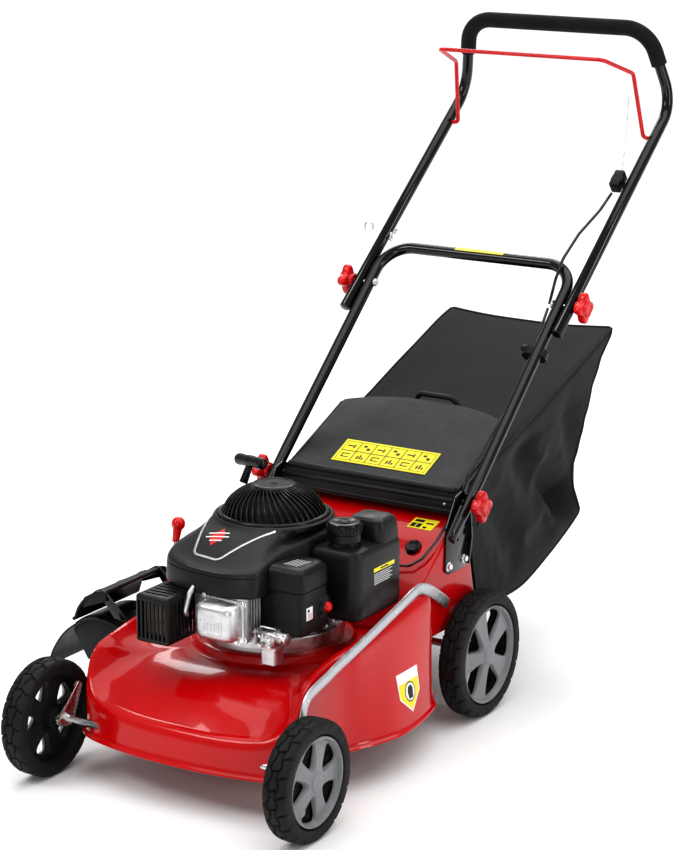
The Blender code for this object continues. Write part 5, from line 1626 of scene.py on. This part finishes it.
def make_lower_handle():
    path = [
        (LOWER_X, *LOWER_END), (LOWER_X, *HANDLE_CORNER), (-LOWER_X, *HANDLE_CORNER),
        (-LOWER_X, *LOWER_END),
    ]
    dense = rounded(path, 0.052, 14)
    ends = []
    for a, b in ((dense[0], dense[1]), (dense[-1], dense[-2])):
        ends.append([a.lerp(b, k / 40) for k in range(40)])
    bar = tube(ends[0] + dense[1:-1] + ends[1][::-1], TUBE_R, 32)
    bar = painted(flattened(bar, LOWER_X, LOWER_END[0], 0.575), BLACK_PAINT)
    top = (HANDLE_CORNER[0], HANDLE_CORNER[1] + TUBE_R - 0.0006)
    up = Vector((0, -0.25, 0.968)).normalized()
    band = [(Vector((x / 1000, top[0] - 0.0024, top[1] - 0.0001)), up) for x in range(-46, 47, 4)]
    sticker = painted(ribbon(band, 0.009, 0.0003, 0.002), YELLOW)
    placed(joined(bar, sticker), "handle_tube_lower", "lower_handle", "black_paint", "lower_handle")
    for side, label in ((-1, "right"), (1, "left")):
        start = Vector((side * 0.1655, *UPPER_STUD))
        head = lathe(
            [
                (0, 0), (0.0058, 0.0003), (0.0068, 0.0014), (0.0072, 0.003), (0.0072, 0.0046),
                (0, 0.0046),
            ],
            start, (side, 0, 0), 32,
        )
        shank = rod((side * 0.1655, *UPPER_STUD), (side * 0.226, *UPPER_STUD), 0.003)
        placed(
            painted(joined(head, shank), ZINC), "fold_bolt_" + label, "lower_handle", "zinc",
            "handle_bolt_" + label,
        )
    along = Vector((0, 0.71, 0.7)).normalized()
    normal = Vector((0, -along.z, along.y))
    center = Vector((0.1735, 0.763, 0.543))
    loops = []
    for w, grow in ((-0.0065, 0.0), (0.0065, 0.0), (0.0065, 0.0026), (-0.0065, 0.0026)):
        loop = soft_rectangle(0.0185 + grow, 0.0108 + grow, 0.01 + grow, 5)
        loops.append([center + Vector((u, 0, 0)) + normal * v + along * w for u, v in loop])
    clip = loft(loops, around=True)
    tab = box((0.15, 0.756, 0.548), (0.158, 0.77, 0.556), 0.001)
    placed(painted(joined(clip, tab), BLACK), "cable_clip", "lower_handle", "black_plastic")


def make_upper_handle():
    top = (0.172, 1.148, 1.03)
    path = [
        (UPPER_X, 0.783, 0.5752), (UPPER_X, 1.19, 0.902), top, (-top[0], top[1], top[2]),
        (-UPPER_X, 1.19, 0.902), (-UPPER_X, 0.783, 0.5752),
    ]
    bends = [0.06, 0.052, 0.052, 0.06]
    bar = tube(rounded(path, bends, 14), TUBE_R, 32)
    placed(
        painted(bar, BLACK_PAINT), "handle_tube_upper", "upper_handle", "black_paint", "upper_handle",
    )
    coarse = rounded(path, bends, 5)
    first = next(p for p in coarse if p.z > GRIP_LOW)
    fine = [p for p in rounded(path, bends, 14) if p.z > GRIP_LOW]
    start = Vector(coarse[6]).lerp(first, 0.55)
    route = [start] + fine + [Vector((-start.x, start.y, start.z))]
    grip = tube(
        stepped(route, 0.006) + [route[-1]],
        lambda share: 0.0135 - 0.0016 * max(0.0, 1 - min(share, 1 - share) / 0.008), 40,
    )
    placed(painted(grip, FOAM), "grip_sleeve", "upper_handle", "foam_black", "foam_grip")

    y, z = GUIDE_SPOT
    path = [(-0.188, y, z), (-0.218, y, z), (-0.225, y + 0.001, z + 0.004)]
    for i in range(25):
        a = math.radians(-60 + 300 * i / 24)
        path.append(
            (-0.235 - 0.0075 * math.cos(a), y + 0.0025 * i / 24, z + 0.01 + 0.0075 * math.sin(a))
        )
    eye = tube(path, 0.0016, 16)
    nut = rod((-0.187, y, z), (-0.191, y, z), 0.0048, 6)
    wings = [ball((-0.185, y + s * 0.0075, z + s * 0.005), 0.006, (0.35, 1.0, 0.75)) for s in (-1, 1)]
    placed(painted(joined(eye, nut, *wings), ZINC), "rope_eye", "upper_handle", "zinc", "rope_guide")


def make_knob(name, x, spot):
    """A four-lobed hand knob with a stepped crown."""
    side = 1 if x > 0 else -1
    rings = []
    for height, size, lobes in (
        (0.0, 0.86, 1.0), (0.0012, 0.94, 1.0), (0.003, 0.98, 1.0), (0.0098, 1.0, 1.0),
        (0.0122, 0.97, 1.0), (0.0134, 0.9, 1.0), (0.0138, 0.66, 0.55), (0.0165, 0.62, 0.5),
        (0.0178, 0.55, 0.5), (0.018, 0.44, 0.1), (0.0172, 0.4, 0.0), (0.0168, 0.2, 0.0),
    ):
        ring = []
        for i in range(96):
            a = 2 * math.pi * i / 96
            wave = math.cos(4 * a)
            r = (0.0205 + 0.0052 * lobes * (wave if wave > 0 else wave * 0.9)) * size
            ring.append(
                Vector((x + side * height, spot[0] + r * math.cos(a), spot[1] + r * math.sin(a)))
            )
        rings.append(ring)
    crown = loft(rings)
    collar = lathe(
        [
            (0.0034, 0), (0.0092, 0), (0.01, 0.001), (0.0104, 0.006), (0.012, 0.0075),
            (0.0034, 0.0075), (0.0034, 0),
        ],
        (x - side * 0.0065, *spot), (side, 0, 0), 48,
    )
    knob = painted(joined(crown, collar), RED_PLASTIC)
    placed(knob, name + "_crown", name, "red_plastic", name)


def make_bail():
    y, z = BAIL_PIVOT
    half = [(0.1985, y, z), (0.18, y, z), (0.1705, 1.099, 0.96), (0.155, 1.013, 0.99)]
    path = rounded(
        half + [(-p[0], p[1], p[2]) for p in half[::-1]], [0.007, 0.012, 0.012, 0.012, 0.012, 0.007],
        10,
    )
    placed(painted(tube(path, 0.0035, 24), RED_PLASTIC), "stop_bail", "bail", "red_paint", "bail")

    route = (
        (0.166, 1.093, 0.925), (0.17, 1.083, 0.88), (0.1755, 1.062, 0.83),
        (0.18, 1.048, 0.804),
    )
    wire = painted(tube(rounded(route, 0.05, 10), 0.0009, 10), ZINC)
    wire.name = "stop_wire"
    wire.data.transform(Matrix.Translation(SHIFT))
    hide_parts("brake_wire")
    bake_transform(wire)


def make_cables():
    tilt = Matrix.Translation((0.179, 1.037, 0.786)) @ Matrix.Rotation(math.radians(-51), 4, "X")
    clamp = box((-0.009, -0.013, -0.017), (0.009, 0.009, 0.017), 0.003, 4)
    strap = box((-0.0105, -0.0115, -0.006), (0.0105, 0.0105, 0.006), 0.0025, 4)
    screw = bolt((-0.0085, -0.002, 0.008), (-1, 0, 0), 0.003, 0.003)
    body = joined(painted(joined(clamp, strap), BLACK), painted(screw, ZINC))
    body.data.transform(tilt)
    placed(body, "cable_anchor", "upper_handle", "black_plastic", "cable_clamp")
    upper = (
        (0.1745, 1.021, 0.769), (0.17, 0.99, 0.745), (0.162, 0.93, 0.713),
        (0.16, 0.879, 0.6795), (0.161, 0.852, 0.65), (0.162, *UPPER_STUD),
    )
    lower = (
        (0.162, 0.8253, 0.6068), (0.163, 0.795, 0.57), (0.164, 0.76, 0.532),
        (0.164, 0.705, 0.482), (0.164, 0.62, 0.422), (0.163, 0.57, 0.388),
        (0.162, 0.541, 0.353),
    )
    deck = (
        (0.162, 0.529, 0.3405), (0.1615, 0.51, 0.326), (0.158, 0.478, 0.3),
        (0.15, 0.45, 0.279), (0.136, 0.434, 0.269), (0.118, 0.432, 0.268),
        (0.1, 0.408, 0.264), (0.09, 0.364, 0.27),
    )
    for name, route, bend, radius, body, node in (
        ("cable_run_upper", upper, 0.06, 0.0025, "upper_handle", "cable_upper"),
        ("cable_run_lower", lower, 0.03, 0.0025, "lower_handle", "cable_lower"),
        ("cable_run_deck", deck, 0.012, 0.0022, "chassis", "cable_deck"),
    ):
        run = painted(tube(rounded(route, bend, 8), radius, 18), BLACK_PAINT)
        placed(run, name, body, "black_plastic", node)


# ---- rear flap, bag and side chute --------------------------------------------------------
def plate_on(origin, u_dir, v_dir, low, high, height, material, lift=0.0):
    """A thin rectangle standing on a plane, between two (u, v) corners."""
    normal = u_dir.cross(v_dir).normalized()
    place = Matrix(
        (
            (u_dir.x, v_dir.x, normal.x, origin.x), (u_dir.y, v_dir.y, normal.y, origin.y),
            (u_dir.z, v_dir.z, normal.z, origin.z), (0, 0, 0, 1),
        )
    )
    piece = box((low[0], low[1], -0.0004), (high[0], high[1], lift + height), 0)
    piece.data.transform(place)
    return painted(piece, material)


# Four plain marks for the cells of the flap's label, as rectangles about the middle of a cell.
CELL_MARKS = (
    ((-0.007, -0.005, 0.007, -0.003), (-0.007, 0.003, 0.007, 0.005), (-0.007, -0.005, -0.005, 0.005)),
    ((-0.008, -0.001, 0.002, 0.002), (0.003, -0.004, 0.006, 0.004)),
    ((-0.006, -0.006, -0.003, 0.002), (-0.001, -0.006, 0.002, 0.005), (0.004, -0.006, 0.007, -0.001)),
    ((-0.007, 0.001, -0.001, 0.006), (0.001, -0.006, 0.007, 0.0)),
)


def make_flap():
    half = 0.158
    front = spline(
        (
            (0.5318, 0.3292, 0), (0.533, 0.342, 0), (0.5352, 0.349, 0), (0.5372, 0.3515, 0),
            (0.5385, 0.36, 0), (0.543, 0.368, 0), (0.552, 0.3725, 0),
        ),
        4,
    )
    columns = 48
    outer, inner = [], []
    for i in range(columns + 1):
        u = -1 + 2 * i / columns
        x = u * half
        tail_y = 0.733 - 0.03 * abs(u) ** 2.5
        line = [(p.x, p.y) for p in front] + [
            (0.586, 0.387), (0.62, 0.4015), (0.66, 0.419), (0.7, 0.4365),
        ]
        line = [
            (y, z) for y, z in line if y < tail_y - 0.002
        ] + [(tail_y, 0.4365 + (tail_y - 0.7) * 0.4)]
        while len(line) < len(front) + 5:
            line.insert(-1, line[-2])
        edge = max(0.0, abs(u) - 0.97) / 0.03
        drop = 0.004 * edge ** 2
        outer.append([Vector((x, y, z - drop)) for y, z in line])
        back = []
        for k, (y, z) in enumerate(line):
            before, after = line[max(k - 1, 0)], line[min(k + 1, len(line) - 1)]
            along = Vector((after[0] - before[0], after[1] - before[1]))
            along = along.normalized() if along.length > 1e-6 else Vector((0.91, 0.41))
            back.append(Vector((x, y + 0.0026 * along.y, z - 0.0026 * along.x - drop)))
        inner.append(back)
    mesh_rings = [a + b[::-1] for a, b in zip(outer, inner)]
    flap = loft(mesh_rings, smooth=45)
    pieces = [flap]
    for y, z, r in ((0.5425, 0.3655, 0.0056), (0.5372, 0.3505, 0.0046), (0.5336, 0.334, 0.0028)):
        pieces.append(tube([(x, y, z) for x in (-0.1555, -0.08, 0, 0.08, 0.1555)], r, 20))
    for side in (-1, 1):
        low, high = sorted((side * 0.158, side * 0.155))
        pieces.append(
            prism(
                (
                    (0.533, 0.331), (0.56, 0.34), (0.58, 0.37), (0.703, 0.42),
                    (0.703, 0.4355), (0.62, 0.3995), (0.553, 0.371), (0.543, 0.366),
                    (0.5385, 0.356),
                ),
                low, high, bevel=0.0008,
            )
        )
    flap = painted(joined(*pieces), FLAP_BLACK)
    u_dir = Vector((1, 0, 0))
    v_dir = Vector((0, 0.7 - 0.552, 0.4365 - 0.3725)).normalized()
    normal = u_dir.cross(v_dir)
    origin = Vector((0, 0.562, 0.3725 + (0.562 - 0.552) * v_dir.z / v_dir.y)) + normal * 0.0006
    wide, tall = 0.175, 0.056
    labels = [plate_on(origin, u_dir, v_dir, (-wide / 2, 0), (wide / 2, tall), 0.0003, YELLOW)]
    cell_w, cell_h = (wide - 0.008) / 6, (tall - 0.008) / 2
    for column in range(6):
        for row in range(2):
            left = -wide / 2 + 0.004 + column * cell_w
            low = 0.004 + row * cell_h
            line = 0.0007
            for a, b in (
                ((left, low), (left + cell_w, low + line)),
                ((left, low + cell_h - line), (left + cell_w, low + cell_h)),
                ((left, low), (left + line, low + cell_h)),
                ((left + cell_w - line, low), (left + cell_w, low + cell_h)),
            ):
                labels.append(plate_on(origin, u_dir, v_dir, a, b, 0.00025, INK, 0.0003))
            cu, cv = left + cell_w / 2, low + cell_h / 2
            for u0, v0, u1, v1 in CELL_MARKS[(column * 2 + row) % 4]:
                labels.append(
                    plate_on(
                        origin, u_dir, v_dir, (cu + u0, cv + v0), (cu + u1, cv + v1), 0.00025, INK,
                        0.0003,
                    )
                )
    stud = painted(ball((0.14, 0.5345, 0.344), 0.003), ZINC)
    placed(joined(flap, *labels, stud), "discharge_flap", "rear_flap", "black_plastic", "rear_flap")
    y, z = FLAP_AXIS
    placed(
        painted(rod((-0.1648, y, z), (0.1648, y, z), 0.003), ZINC), "flap_pin", "chassis", "zinc",
        "flap_rod",
    )


BAG_SECTIONS = (
    # top y and z, bottom y and z, half width, forward sag of the middle
    (0.574, 0.356, 0.617, 0.158, 0.154, 0.0), (0.63, 0.384, 0.655, 0.152, 0.156, 0.0),
    (0.72, 0.408, 0.705, 0.148, 0.158, 0.0), (0.83, 0.446, 0.77, 0.154, 0.16, 0.004),
    (0.94, 0.486, 0.86, 0.184, 0.161, 0.014), (1.03, 0.518, 0.93, 0.212, 0.161, 0.034),
    (1.07, 0.53, 0.96, 0.226, 0.16, 0.048),
)


def fold(y, z, a, b, width, depth):
    """A soft crease of a given depth along the line from a to b."""
    ay, az = a
    along = Vector((b[0] - ay, b[1] - az))
    spot = Vector((y - ay, z - az))
    share = max(0.0, min(1.0, spot.dot(along) / along.length_squared))
    gap = (spot - along * share).length
    ends = min(1.0, 4 * min(share, 1 - share) + 0.25)
    return depth * ends * math.exp(-(gap / width) ** 2)


def bag_point(section, u, v):
    """A point of the bag: u and v go round the loop from -1 to 1, with folds and sag."""
    top_y, top_z, low_y, low_z, half, sag = section
    h = 0.5 + 0.5 * v
    y = low_y + (top_y - low_y) * h - sag * math.sin(math.pi * h)
    z = low_z + (top_z - low_z) * h
    x = u * half
    if abs(u) > 0.97 and abs(v) < 0.97:
        inward = (
            fold(y, z, (0.72, 0.4), (0.95, 0.225), 0.045, 0.013)
            + fold(y, z, (0.8, 0.395), (0.86, 0.225), 0.026, -0.01)
            + fold(y, z, (0.815, 0.33), (0.925, 0.25), 0.03, 0.012)
            + fold(y, z, (0.9, 0.44), (0.96, 0.27), 0.03, 0.007)
            + fold(y, z, (0.65, 0.33), (0.76, 0.19), 0.04, 0.006)
            + fold(y, z, (0.7, 0.23), (0.93, 0.215), 0.02, -0.004)
        )
        fade = 1.7 * min(1.0, (0.97 - abs(v)) / 0.25) * min(1.0, max(0.0, (y - 0.6) / 0.05))
        ripple = 0.0022 * (
            noise.noise(Vector((x * 2, y * 14, z * 14))) + 0.5
            * noise.noise(Vector((x, y * 40, z * 40)))
        )
        x -= math.copysign((inward + ripple) * fade, x)
    if v > 0.97:
        z -= 0.008 * (1 - abs(u) ** 2.4) * min(1.0, max(0.0, (y - 0.7) / 0.12))
        z += 0.0012 * noise.noise(Vector((x * 12, y * 12, 3.0)))
    return Vector((x, y, z))


def bag_loop():
    loop = []
    for a, b, count in (
        ((1, -1), (1, 1), 34), ((1, 1), (-1, 1), 40), ((-1, 1), (-1, -1), 34), ((-1, -1), (1, -1), 30),
    ):
        for k in range(count):
            s = k / count
            loop.append((a[0] + (b[0] - a[0]) * s, a[1] + (b[1] - a[1]) * s))
    soft = []
    for u, v in loop:
        du, dv = max(0.0, abs(u) - 0.955), max(0.0, abs(v) - 0.955)
        if du and dv:
            reach = math.hypot(du, dv)
            if reach > 0.045:
                u = math.copysign(0.955 + du * 0.045 / reach, u)
                v = math.copysign(0.955 + dv * 0.045 / reach, v)
        soft.append((u, v))
    return soft


def bag_sections():
    columns = []
    for k in range(6):
        columns.append(spline([(i * 0.1, s[k], 0) for i, s in enumerate(BAG_SECTIONS)], 9))
    return [tuple(column[i].y for column in columns) for i in range(len(columns[0]))]


def make_bag():
    sections = bag_sections()
    loop = bag_loop()
    rings = [[bag_point(s, u, v) for u, v in loop] for s in sections]
    last = sections[-1]
    for share in (0.93, 0.8, 0.6, 0.4, 0.2, 0.05):
        ring = []
        for u, v in loop:
            flat = bag_point((*last[:5], last[5]), u * share * 0.999, v * share)
            dent = (1 - share ** 2) * 0.01
            ring.append(flat + Vector((0, 0.006 - dent, 0)))
        rings.append(ring)
    shell = painted(loft(rings, caps=False, uv=True, smooth=60), CLOTH)
    mesh = bmesh.new()
    mesh.from_mesh(shell.data)
    mesh.verts.ensure_lookup_table()
    count = len(loop)
    mesh.faces.new([mesh.verts[(len(rings) - 1) * count + i] for i in range(count)])
    bmesh.ops.recalc_face_normals(mesh, faces=mesh.faces[:])
    mesh.to_mesh(shell.data)
    mesh.free()
    shell.data.shade_smooth()
    placed(shell, "bag_cloth_shell", "bag", "bag_cloth", "bag_fabric")

    edges = []
    for u, v in ((1, 1), (-1, 1), (1, -1), (-1, -1)):
        route = [
            bag_point(s, u * 0.985, v * 0.985) + Vector((u * 0.0004, 0, v * 0.0006)) for s in sections
        ]
        edges.append(tube(route, 0.0021, 12))
    rear = [bag_point(last, u, v) + Vector((0, 0.0008, 0)) for u, v in loop]
    edges.append(tube(rear, 0.0021, 12, cyclic=True))
    mouth = [bag_point(sections[0], u, v) for u, v in loop]
    edges.append(tube(mouth, 0.003, 12, cyclic=True))
    placed(painted(joined(*edges), PIPING), "bag_piping", "bag", "bag_cloth")

    corners = [
        (0.148, 0.5795, 0.348), (0.148, 0.619, 0.168), (-0.148, 0.619, 0.168),
        (-0.148, 0.5795, 0.348),
    ]
    frame_path = rounded(corners + corners[:2], 0.012, 6)[1:-1]
    placed(
        painted(tube(frame_path, 0.003, 20, cyclic=True), ZINC), "bag_wire", "bag", "zinc",
        "bag_frame",
    )
    strap = rounded(
        (
            (-0.045, 0.756, 0.4225), (-0.035, 0.746, 0.456), (0.035, 0.746, 0.456),
            (0.045, 0.756, 0.4225),
        ),
        0.016, 8,
    )
    feet = [rod((x, 0.756, 0.418), (x, 0.756, 0.4235), 0.008) for x in (-0.045, 0.045)]
    placed(
        painted(joined(tube(strap, 0.0045, 20), *feet), BLACK), "carry_handle", "bag", "black_plastic",
        "bag_handle",
    )


def curved_strip(points, thickness, low, high, flare, crown=0.0):
    """A moulded sheet along (x, z) points, from y = low to high, wider at its far end."""
    smooth = spline([(x, z, 0) for x, z in points], 6)
    count = len(smooth)
    rings = []
    for k, p in enumerate(smooth):
        before, after = smooth[max(k - 1, 0)], smooth[min(k + 1, count - 1)]
        along = (after - before).normalized()
        normal = Vector((-along.y, along.x))
        spread = flare * k / (count - 1)
        start, end = low - spread, high + spread
        outer, inner = [], []
        for i in range(17):
            s = i / 16
            y = start + (end - start) * s
            lift = crown * (1 - (2 * s - 1) ** 4)
            outer.append(Vector((p.x - normal.x * lift, y, p.y - normal.y * lift)))
            inner.append(
                Vector((p.x + normal.x * (thickness - lift), y, p.y + normal.y * (thickness - lift)))
            )
        rings.append(outer + inner[::-1])
    return loft(rings, smooth=50)


def make_side_parts():
    cover = (
        (-0.229, 0.243), (-0.242, 0.241), (-0.258, 0.233), (-0.272, 0.216), (-0.28, 0.196),
    )
    strip = curved_strip(cover, 0.0035, 0.1345, 0.2905, 0.004, 0.002)
    pin = rod((HINGE[0], 0.137, HINGE[1]), (HINGE[0], 0.288, HINGE[1]), 0.0035)
    ribs = []
    for y in (0.158, 0.2125, 0.267):
        ribs.append(tube(spline([(x - 0.0006, y, z + 0.0006) for x, z in cover[1:]], 5), 0.0022, 12))
    lip = tube([(-0.2802, y, 0.1955) for y in (0.131, 0.18, 0.24, 0.294)], 0.0028, 14)
    side = soft_outline(
        (
            (-0.218, 0.248), (-0.24, 0.245), (-0.262, 0.232), (-0.272, 0.212),
            (-0.252, 0.22), (-0.22, 0.232),
        ),
        0.004,
    )
    ends = [prism(side, y, y + 0.003, axis="Y", bevel=0.0008) for y in (0.1345, 0.2875)]
    placed(
        painted(joined(strip, pin, lip, *ribs, *ends), BLACK), "side_cover", "side_flap",
        "black_plastic", "side_flap",
    )

    top = curved_strip(
        (
            (-0.2235, 0.176), (-0.26, 0.186), (-0.295, 0.179), (-0.328, 0.156),
            (-0.35, 0.125), (-0.36, 0.096),
        ),
        0.003, 0.176, 0.274, 0.012,
    )
    lobe = curved_strip(
        ((-0.25, 0.1885), (-0.27, 0.1895), (-0.296, 0.1825), (-0.318, 0.168)), 0.003, 0.186,
        0.264, 0.004,
    )
    cheeks = []
    outline = soft_outline(
        (
            (-0.2235, 0.1755), (-0.26, 0.1845), (-0.295, 0.1775), (-0.318, 0.16),
            (-0.29, 0.115), (-0.2235, 0.105),
        ),
        0.006,
    )
    for y in (0.176, 0.271):
        cheeks.append(prism(outline, y, y + 0.003, axis="Y", bevel=0.0008))
    edge = tube([(-0.36, y, 0.0965) for y in (0.165, 0.19, 0.26, 0.285)], 0.003, 14)
    placed(
        painted(joined(top, lobe, edge, *cheeks), BLACK), "side_hood", "side_chute", "black_plastic",
        "side_chute",
    )


def make_deck_marks():
    tilt = math.atan2(0.306 - 0.251, 0.5 - 0.42)
    z = 0.251 + (PLUG_SPOT[1] - 0.42) * math.tan(tilt)
    plug = lathe(
        [
            (0, 0.0014), (0.006, 0.0016), (0.0078, 0.0034), (0.01, 0.0038), (0.012, 0.0026),
            (0.0128, 0.001), (0.0128, 0.0003), (0.0098, 0.0003), (0.0095, -0.004), (0, -0.004),
        ],
        (*PLUG_SPOT, z), (0, -math.sin(tilt), math.cos(tilt)), 48,
    )
    placed(painted(plug, GLOSS_BLACK), "slope_plug", "chassis", "black_plastic", "deck_plug")
    deck = bpy.data.objects["deck_pressing"]
    u_dir, v_dir = Vector((1, 0, 0)), Vector((0, 0.966, 0.258))
    origin = Vector((0.112, 0.505, 0.3074)) + Vector((0, 0, 0.0006))
    pieces = [plate_on(origin, u_dir, v_dir, (-0.022, -0.002), (0.022, 0.028), 0.0003, YELLOW)]
    for u0, v0, u1, v1 in (
        (-0.019, 0.001, -0.011, 0.013), (-0.009, 0.001, -0.001, 0.013), (0.004, 0.001, 0.01, 0.006),
        (-0.018, 0.017, -0.002, 0.024), (0.004, 0.014, 0.017, 0.018),
    ):
        pieces.append(plate_on(origin, u_dir, v_dir, (u0, v0), (u1, v1), 0.0002, INK, 0.0003))
    shield = []
    disc = [on_circle(1.0, i / 32) for i in range(32)]
    sheet = ((-0.031, 0.028), (0.031, 0.028), (0.031, -0.009), (0.0, -0.035), (-0.031, -0.009))
    lower = ((-0.0285, 0.012), (0.0285, 0.012), (0.0285, -0.008), (0.0, -0.0318), (-0.0285, -0.008))
    for outline, material, lift in (
        (sheet, WHITE, 0.0004), (lower, YELLOW, 0.0006),
        ([(0.015 * u, 0.015 * v - 0.004) for u, v in disc], INK, 0.0008),
        ([(0.0132 * u, 0.0132 * v - 0.004) for u, v in disc], WHITE, 0.001),
        (
            (
                (-0.006, -0.014), (0.006, -0.014), (0.008, 0.0), (0.003, 0.006), (-0.005, 0.004),
                (-0.008, -0.002),
            ),
            INK, 0.0012,
        ),
    ):
        spots = []
        for u, v in soft_outline(outline, 0.001):
            spots.append((0.3 + SHIFT.x, 0.313 + u + SHIFT.y, 0.122 + v))
        shield.append(sticker(deck, spots, (-1, 0, 0), lift, material, SHIFT))
    placed(joined(*pieces, *shield), "deck_labels", "chassis", "red_paint")


def finish_frame_materials():
    """Procedural materials on the CAD nodes that stay as they are."""
    for node, material in (
        ("crankshaft", STAINED), ("flywheel", CAST_DULL), ("blade", STAINED), ("blade_bolt", ZINC),
    ):
        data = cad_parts[node].data
        data.materials.clear()
        data.materials.append(material)


make_stage()
make_deck()
make_trims()
make_wheels()
make_axles()
make_lever()
make_engine_block()
make_exhaust()
make_shroud()
make_grille()
make_intake()
make_tank()
make_starter()
make_brackets()
make_lower_handle()
make_upper_handle()
for side_label, side_sign in (("right", -1), ("left", 1)):
    make_knob("knob_lower_" + side_label, side_sign * 0.197, LOWER_STUD)
    make_knob("knob_upper_" + side_label, side_sign * 0.2175, UPPER_STUD)
make_bail()
make_cables()
make_flap()
make_bag()
make_side_parts()
make_deck_marks()
finish_frame_materials()
